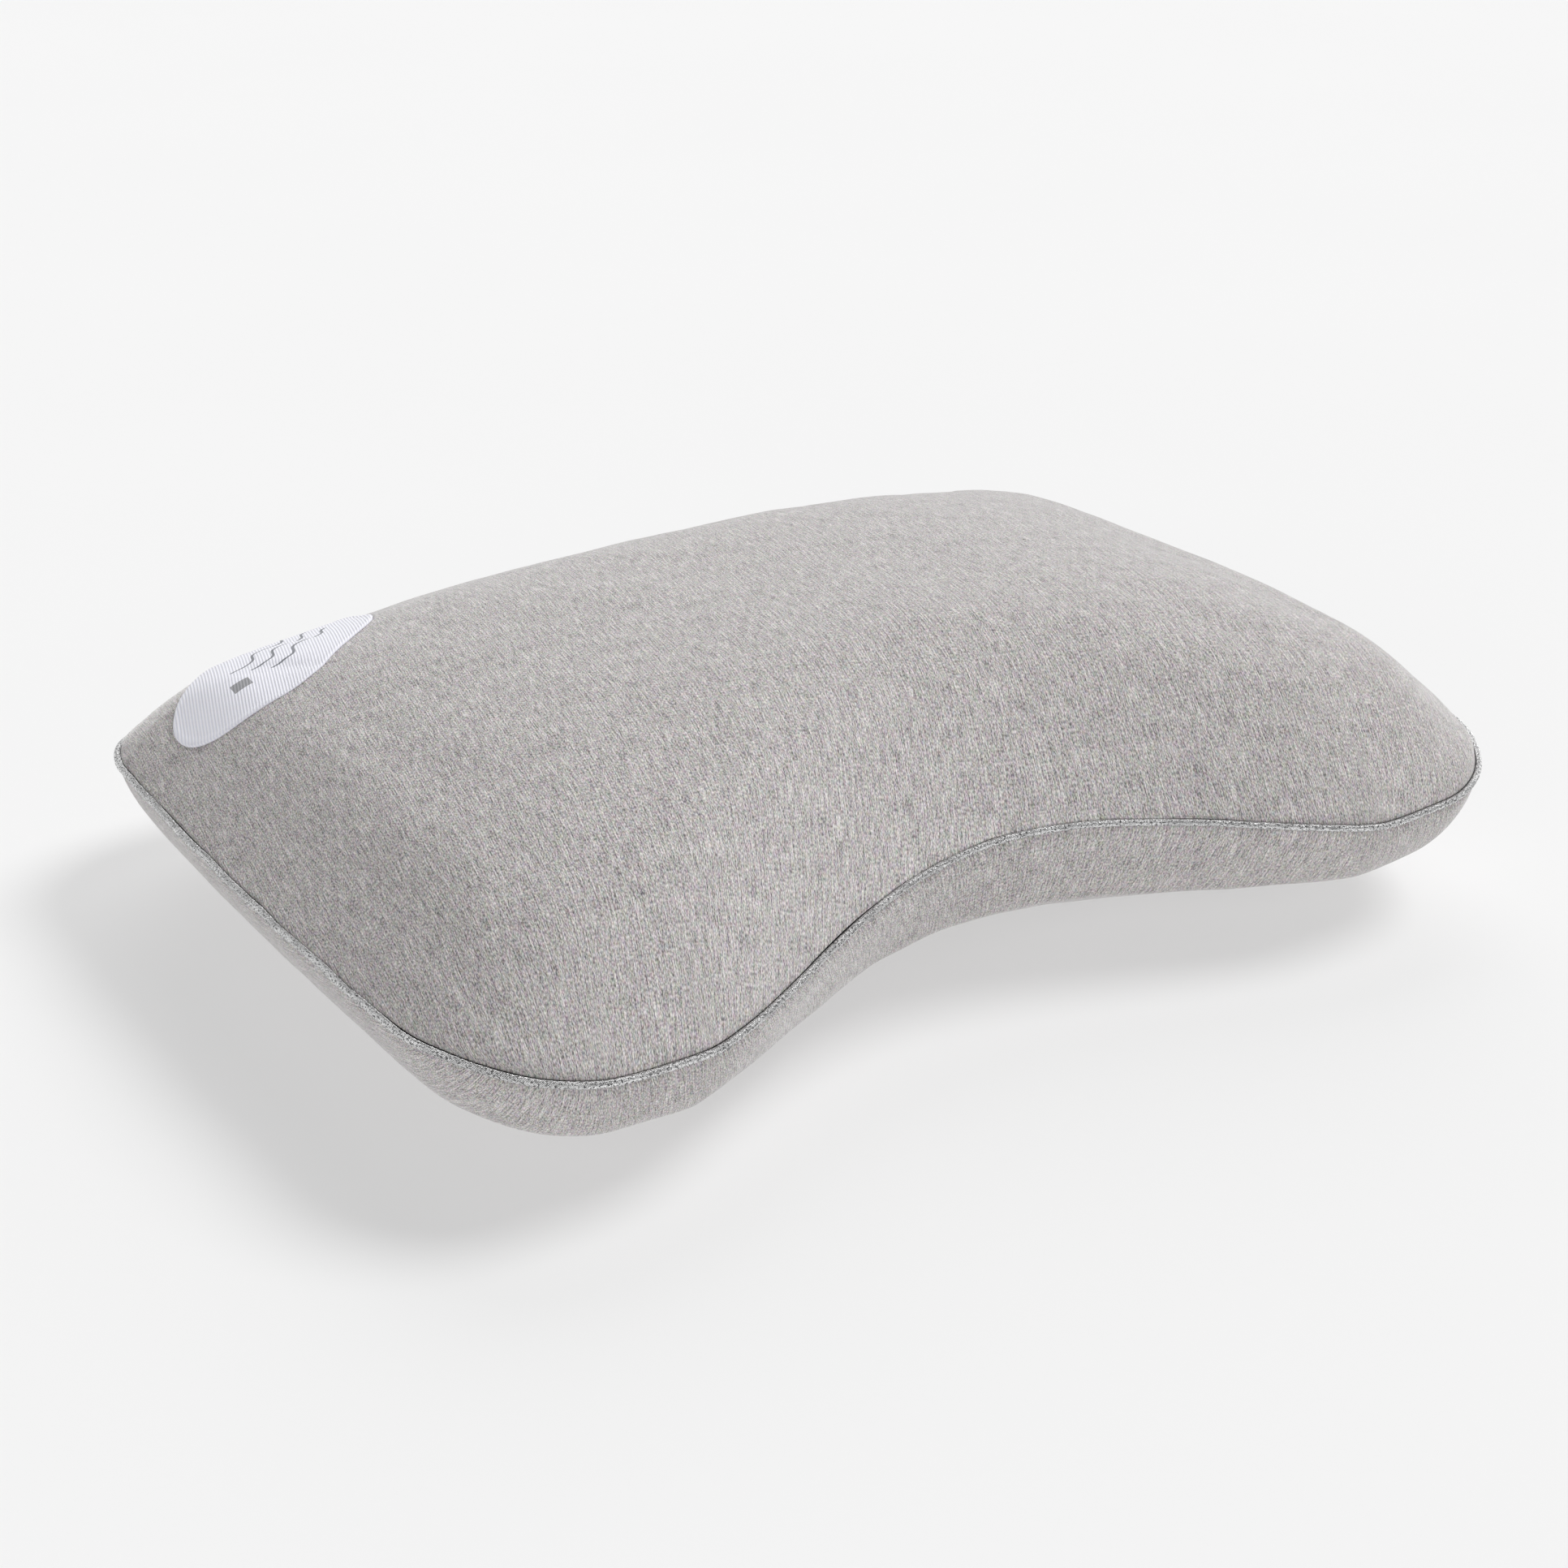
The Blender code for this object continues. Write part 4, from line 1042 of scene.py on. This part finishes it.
class MakeCore(bpy.types.Operator):
    """Make the foam core and the two halves of its liner"""

    bl_idname = "pillow.make_core"
    bl_label = "Core and liner"

    def execute(self, context):
        seam = Seam(4)
        halves = []
        for top in (True, False):
            width = TOP_EDGE_WIDTH if top else BOTTOM_EDGE_WIDTH
            insets = [inset for inset in np.linspace(0, width, 9) if inset > 1.2 * CORE_EDGE_INSET]
            rings = [seam.ring(top, inset, room=CORE_ROOM) for inset in [CORE_EDGE_INSET] + insets]
            halves.append(rings + [seam.ring(top, width, share, CORE_ROOM) for share in np.linspace(0.08, 1, 12)])
        upper, lower = halves
        bm = laid_grid(list(reversed(lower)) + upper)
        bmesh.ops.recalc_face_normals(bm, faces=bm.faces)
        core = smoothed(piece(bm, "foam", foam_finish("open_cell_foam"), "foam_core", "foam"))
        cloth = woven_finish("liner_jersey", tuple(looks_of().liner), pitch=0.0009)
        for name, rings, side in (("liner_upper", upper, 1), ("liner_lower", lower, -1)):
            middle = lower[0] + (upper[0] - lower[0]) * (0.5 + side * 0.02)
            bm = facing(laid_grid([middle] + rings), side > 0)
            half = smoothed(piece(bm, name + "_half", cloth, name, "liner"))
            raised = half.modifiers.new("Lift", "DISPLACE")
            raised.mid_level = 0.0
            raised.strength = LINER_GAP
            walled(half, LINER, outward=True)
        return {"FINISHED"}


class MakeZip(bpy.types.Operator):
    """Make the zip's tapes, coils, stops, end tabs and the stitching beside it"""

    bl_idname = "pillow.make_zip"
    bl_label = "Zip"

    def execute(self, context):
        trim = trim_of()
        half = trim.zip_length / 2
        place = zip_frame()
        looks = looks_of()
        tape = woven_finish("zip_tape_weave", tuple(looks.tape), pitch=0.0006)
        nylon = woven_finish("zip_nylon", tone(tuple(looks.tape), 0.9), pitch=0.0008, roughness=0.4)
        metal = metal_finish("zip_metal")
        low_y, high_y = TAPE_Y - TAPE_WALL / 2, TAPE_Y + TAPE_WALL / 2
        depth = COIL_WIDTH / 2
        for name, side in (("upper", 1), ("lower", -1)):
            near, far = sorted((side * (COIL_HIGH + GAP), side * (COIL_HIGH + GAP + TAPE_WIDTH)))
            reach = half + TAPE_OVERHANG
            bm = block((-reach, low_y, near), (reach, high_y, far), 0.00018)
            bm.transform(place)
            piece(bm, f"tape_{name}", tape, f"zip_tape_{name}", "zip_tape", crease=40)
            bm = self.coil(side, half)
            bm.transform(place)
            piece(bm, f"coil_{name}", nylon, f"zip_coil_{name}", "zip_coil")
            near, far = sorted((side * COIL_LOW, side * COIL_HIGH))
            bm = block((half - STOP_LENGTH, TAPE_Y - depth, near), (half, TAPE_Y + depth, far), 0.0003)
            bm.transform(place)
            piece(bm, f"top_stop_{name}", metal, f"zip_top_stop_{name}", "zip_metal", crease=40)
            self.end_tab(side, half, place, tape)
        bm = block((-half, TAPE_Y - depth, -COIL_HIGH), (STOP_LENGTH - half, TAPE_Y + depth, COIL_HIGH), 0.0004, 3)
        bm.transform(place)
        piece(bm, "bottom_stop", metal, "zip_bottom_stop", "zip_metal", crease=40)
        self.stitching(half, place)
        return {"FINISHED"}

    @staticmethod
    def coil(side, half):
        """A flattened spiral of nylon thread."""
        pitch, wire = trim_of().coil_pitch, WIRE
        length = 2 * (half - STOP_LENGTH - GAP) - 2 * wire
        turns = round(length / pitch)
        steps = 10 * turns
        angle = np.linspace(0, 2 * np.pi * turns, steps + 1)
        x = np.linspace(-length / 2, length / 2, steps + 1)
        low, high = COIL_LOW - 0.0002 + wire, COIL_HIGH - wire
        middle, reach = (low + high) / 2, (high - low) / 2
        phase = 0.0 if side > 0 else np.pi
        across = side * (middle + reach * np.cos(angle + phase))
        out = TAPE_Y + (COIL_WIDTH / 2 - wire) * np.sin(angle + phase)
        path = np.stack((x, out, across), 1)
        way = unit(np.gradient(path, axis=0))
        first = unit(np.cross(way, (1.0, 0, 0)))
        second = np.cross(way, first)
        around = np.linspace(0, 2 * np.pi, 5, endpoint=False)
        cosine, sine = (turn(around)[None, :, None] for turn in (np.cos, np.sin))
        points = path[:, None] + wire * (first[:, None] * cosine + second[:, None] * sine)
        bm = laid_grid(points)
        bmesh.ops.holes_fill(bm, edges=[edge for edge in bm.edges if edge.is_boundary])
        bmesh.ops.recalc_face_normals(bm, faces=bm.faces)
        return bm

    @staticmethod
    def end_tab(side, half, place, tape):
        word = "right" if side > 0 else "left"
        near, far = sorted((side * (half + GAP), side * (half + GAP + END_TAB_LENGTH)))
        face = TAPE_Y - TAPE_WALL / 2 - GAP
        tall = END_TAB_HEIGHT / 2
        bm = block((near, face - TAPE_WALL, -tall), (far, face, tall), 0.00018)
        bm.transform(place)
        piece(bm, f"end_tab_{word}", tape, f"zip_end_tab_{word}", "zip_tape", crease=40)

    @staticmethod
    def stitching(half, place):
        """Rows of stitches that hold the tapes, and a bar tack at each end."""
        step = trim_of().stitch
        stitches = []
        reach = half + SLOT_MARGIN + 0.004
        for z in (-SLOT_HEIGHT / 2 - STITCH_OFF, SLOT_HEIGHT / 2 + STITCH_OFF):
            for x in np.arange(-reach, reach, step):
                stitches.append((Vector((x + step / 2, STITCH_PROUD, z)), step * 0.40))
        for x in (-reach, reach):
            for z in np.arange(-SLOT_HEIGHT / 2 - 0.0010, SLOT_HEIGHT / 2 + 0.0012, TACK_PITCH):
                stitches.append((Vector((x, STITCH_PROUD, z)), TACK_HALF))
        bm = bmesh.new()
        for centre, long in stitches:
            shape = Matrix.Translation(centre) @ Matrix.Diagonal((long, 0.00028, 0.00030, 1))
            bmesh.ops.create_icosphere(bm, subdivisions=1, radius=1.0, matrix=place @ shape)
        piece(bm, "zip_stitching", woven_finish("thread", (0.42, 0.41, 0.41), pitch=0.0004), None, "knit")


class MakeSlider(bpy.types.Operator):
    """Make the zip's slider and its pull"""

    bl_idname = "pillow.make_slider"
    bl_label = "Slider and pull"

    def execute(self, context):
        slider_x = trim_of().zip_length / 2 - STOP_LENGTH - GAP - SLIDER_LENGTH / 2
        place = zip_frame() @ Matrix.Translation((slider_x, 0, 0))
        metal = metal_finish("slider_metal")
        half = SLIDER_LENGTH / 2
        blocks = []
        for side in (-1, 1):
            near, far = sorted((TAPE_Y + side * PLATE_IN, TAPE_Y + side * (PLATE_IN + SLIDER_PLATE)))
            plate = block((-half, near, -SLIDER_HALF), (half, far, SLIDER_HALF), 0.00028, 3)
            for vert in plate.verts:
                vert.co.z *= 1 - PLATE_TAPER * max(-vert.co.x / half, 0.0) ** 1.5
            blocks.append(plate)
            near, far = sorted((TAPE_Y + side * 0.0006, TAPE_Y + side * (PLATE_IN + SLIDER_PLATE / 2)))
            for edge in (-1, 1):
                low, high = sorted((edge * (SLIDER_HALF - 0.0007), edge * SLIDER_HALF))
                lip = block((-half * 0.55, near, low), (half, far, high), 0.00015)
                blocks.append(lip)
        deep = PLATE_IN + 0.0004
        blocks.append(block((half - 0.0025, TAPE_Y - deep, -0.0003), (half, TAPE_Y + deep, 0.0003)))
        blocks.append(self.bail())
        bm = gathered(blocks)
        bm.transform(place)
        piece(bm, "slider_body", metal, "zip_slider", "zip_metal", body="slider", crease=35)
        pull_y = TAPE_Y + PLATE_IN + SLIDER_PLATE + BAIL_ROOM / 2
        bm = self.pull()
        bm.transform(place @ Matrix.Translation((0, pull_y, 0)))
        obj = piece(bm, "pull_tab", metal_finish("pull_metal"), "zip_pull", "zip_metal", body="pull", crease=35)
        walled(obj, PULL_WALL).modifiers["Wall"].offset = 0.0
        bevel = obj.modifiers.new("Edges", "BEVEL")
        bevel.width, bevel.segments, bevel.limit_method = 0.00022, 2, "ANGLE"
        return {"FINISHED"}

    @staticmethod
    def bail():
        """The arch that the pull hangs on."""
        plate = TAPE_Y + PLATE_IN + SLIDER_PLATE
        wide = BAIL_WIDTH / 2
        top = plate + BAIL_ROOM + BAIL_BAR
        parts = [block((-BAIL_LENGTH / 2, plate + BAIL_ROOM, -wide), (BAIL_LENGTH / 2, top, wide), 0.00025, 3)]
        for side in (-1, 1):
            low, high = sorted((side * (BAIL_LENGTH / 2 - BAIL_BAR), side * BAIL_LENGTH / 2))
            parts.append(block((low, plate - 0.0004, -wide), (high, top - 0.0002, wide), 0.0002))
        return gathered(parts)

    @staticmethod
    def pull():
        """A flat tab with a window round the bail and an eye near its rounded tip."""
        xs = (0.0005, -0.0005, -0.0051, -0.0118, -0.0185, -0.0230, -PULL_LENGTH)
        zs = (-PULL_WIDTH / 2, -0.0011, 0.0011, PULL_WIDTH / 2)
        points = np.array([[(x, 0.0, z) for z in zs] for x in xs])
        bm = laid_grid(points, closed_round=False)
        holes = [
            face for face in bm.faces
            if abs(face.calc_center_median().z) < 1e-4 and -0.0230 < face.calc_center_median().x < -0.0005
            and not -0.0185 < face.calc_center_median().x < -0.0051
        ]
        bmesh.ops.delete(bm, geom=holes, context="FACES")
        tips = [vert for vert in bm.verts if len(vert.link_edges) == 2]
        bmesh.ops.bevel(bm, geom=tips, offset=0.0019, segments=5, profile=0.5, affect="VERTICES", material=-1)
        return bm


class MakeLabel(bpy.types.Operator):
    """Make the blank care label that hangs beside the zip"""

    bl_idname = "pillow.make_label"
    bl_label = "Care label"

    def execute(self, context):
        trim = trim_of()
        low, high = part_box("care_label")
        centre = (low.x + high.x) / 2
        top = BAND_LENGTH / 2
        rows = []
        wall = LABEL_CLOTH
        down = np.linspace(0, trim.label_length - 0.0004, 24)
        curl = LABEL_CURL * ease((down - 0.012) / 0.028)
        outer = np.stack((GAP + wall * 2 + 0.0002 + curl, top - down), 1)
        inner = np.stack((GAP + wall + curl, top - down), 1)[::-1]
        profile = np.concatenate((outer, inner))
        across = np.linspace(-trim.label_width / 2, trim.label_width / 2, 13)
        for out, up in profile:
            wave = 0.0003 * np.sin(across / 0.004 + up * 60) * max(top - up - 0.006, 0.0) / 0.03
            rows.append(np.stack((centre + across, out + wave, np.full(13, up)), 1))
        bm = laid_grid(np.array(rows), closed_round=False)
        bm.transform(zip_frame())
        bmesh.ops.recalc_face_normals(bm, faces=bm.faces)
        finish = woven_finish("label_satin", tuple(looks_of().label), pitch=0.0004, roughness=0.5, contrast=0.9)
        obj = piece(bm, "label", finish, "care_label", "label")
        walled(obj, wall)
        return {"FINISHED"}


class MakeStage(bpy.types.Operator):
    """Make the pale floor, the soft studio light and the camera"""

    bl_idname = "pillow.make_stage"
    bl_label = "Stage"

    def execute(self, context):
        bm = bmesh.new()
        bmesh.ops.create_circle(bm, cap_ends=True, segments=96, radius=FLOOR_RADIUS)
        bmesh.ops.translate(bm, verts=bm.verts, vec=(0, 0, -FLOOR_DROP))
        mesh = bpy.data.meshes.new("floor")
        bm.to_mesh(mesh)
        bm.free()
        mesh.materials.append(floor_finish("pale_floor"))
        floor = bpy.data.objects.new("floor", mesh)
        context.scene.collection.objects.link(floor)
        looks = looks_of()
        for name, share, softness, azimuth, elevation in SUNS:
            light = bpy.data.lights.new(name, "SUN")
            light.energy = looks.sun * share
            light.angle = math.radians(softness)
            lamp = bpy.data.objects.new(name, light)
            lamp.rotation_euler = Euler((math.radians(90 - elevation), 0, math.radians(180 - azimuth)))
            context.scene.collection.objects.link(lamp)
        self.sky(context, looks.sky, looks.horizon)
        self.camera(context)
        context.scene.view_settings.view_transform = "Standard"
        return {"FINISHED"}

    @staticmethod
    def sky(context, strength, horizon):
        """Even light, dimmer from the front left and brighter low down, as from pale studio walls."""
        world = bpy.data.worlds.new("studio")
        world.use_nodes = True
        tree = world.node_tree
        background = tree.nodes["Background"]
        background.inputs["Color"].default_value = (1.0, 1.0, 1.0, 1.0)
        place = tree.nodes.new("ShaderNodeTexCoord")
        lean = tree.nodes.new("ShaderNodeVectorMath")
        lean.operation = "DOT_PRODUCT"
        lean.inputs[1].default_value = Vector(SKY_LEAN).normalized()
        ends = ("From Min", "From Max", "To Min", "To Max")
        level = tree.nodes.new("ShaderNodeMapRange")
        low, high, dim, bright = SKY_RANGE
        for name, value in zip(ends, (low, high, dim * strength, bright * strength)):
            level.inputs[name].default_value = value
        tree.links.new(place.outputs["Generated"], lean.inputs[0])
        tree.links.new(lean.outputs["Value"], level.inputs["Value"])
        height = tree.nodes.new("ShaderNodeSeparateXYZ")
        band = tree.nodes.new("ShaderNodeMapRange")
        band.interpolation_type = "SMOOTHSTEP"
        for name, value in zip(ends, (*WALLS_RANGE, 1 + horizon / strength, 1.0)):
            band.inputs[name].default_value = value
        both = tree.nodes.new("ShaderNodeMath")
        both.operation = "MULTIPLY"
        tree.links.new(place.outputs["Generated"], height.inputs[0])
        tree.links.new(height.outputs["Z"], band.inputs["Value"])
        tree.links.new(level.outputs["Result"], both.inputs[0])
        tree.links.new(band.outputs["Result"], both.inputs[1])
        tree.links.new(both.outputs[0], background.inputs["Strength"])
        context.scene.world = world

    @staticmethod
    def camera(context):
        data = bpy.data.cameras.new("camera")
        data.lens, data.sensor_width = LENS, SENSOR
        data.clip_start, data.clip_end = 0.05, 100.0
        camera = bpy.data.objects.new("camera", data)
        level = math.cos(CAMERA_ELEVATION)
        back = Vector(
            (math.sin(CAMERA_AZIMUTH) * level, -math.cos(CAMERA_AZIMUTH) * level, math.sin(CAMERA_ELEVATION))
        )
        right = (-back).cross(Vector((0, 0, 1))).normalized()
        up = right.cross(-back)
        turned = right * math.cos(CAMERA_ROLL) + up * math.sin(CAMERA_ROLL)
        upright = up * math.cos(CAMERA_ROLL) - right * math.sin(CAMERA_ROLL)
        axes = Matrix((turned, upright, back)).transposed().to_4x4()
        camera.matrix_world = Matrix.Translation(Vector(CAMERA_TARGET) + back * CAMERA_DISTANCE) @ axes
        context.scene.collection.objects.link(camera)
        context.scene.camera = camera


class PILLOW_PT_panel(bpy.types.Panel):
    """Lists the pillow's sizes, colours and pieces"""

    bl_label = "Contoured pillow"
    bl_space_type = "VIEW_3D"
    bl_region_type = "UI"
    bl_category = "Pillow"

    def draw(self, context):
        for group in (context.scene.pillow_shape, context.scene.pillow_trim, context.scene.pillow_looks):
            box = self.layout.box()
            for name in type(group).__annotations__:
                box.prop(group, name)
        for operator in OPERATORS:
            self.layout.operator(operator.bl_idname)


GROUPS = {"pillow_shape": PillowShape, "pillow_trim": PillowTrim, "pillow_looks": PillowLooks}
OPERATORS = (MakeCover, MakePiping, MakeBadge, MakeCore, MakeZip, MakeSlider, MakeLabel, MakeStage)
CLASSES = (*GROUPS.values(), *OPERATORS, PILLOW_PT_panel)


def register():
    for one in CLASSES:
        bpy.utils.register_class(one)
    for name, group in GROUPS.items():
        setattr(bpy.types.Scene, name, PointerProperty(type=group))


def unregister():
    for name in GROUPS:
        delattr(bpy.types.Scene, name)
    for one in reversed(CLASSES):
        bpy.utils.unregister_class(one)


def main():
    register()
    for operator in OPERATORS:
        group, name = operator.bl_idname.split(".")
        getattr(getattr(bpy.ops, group), name)()


if __name__ == "__main__":
    main()
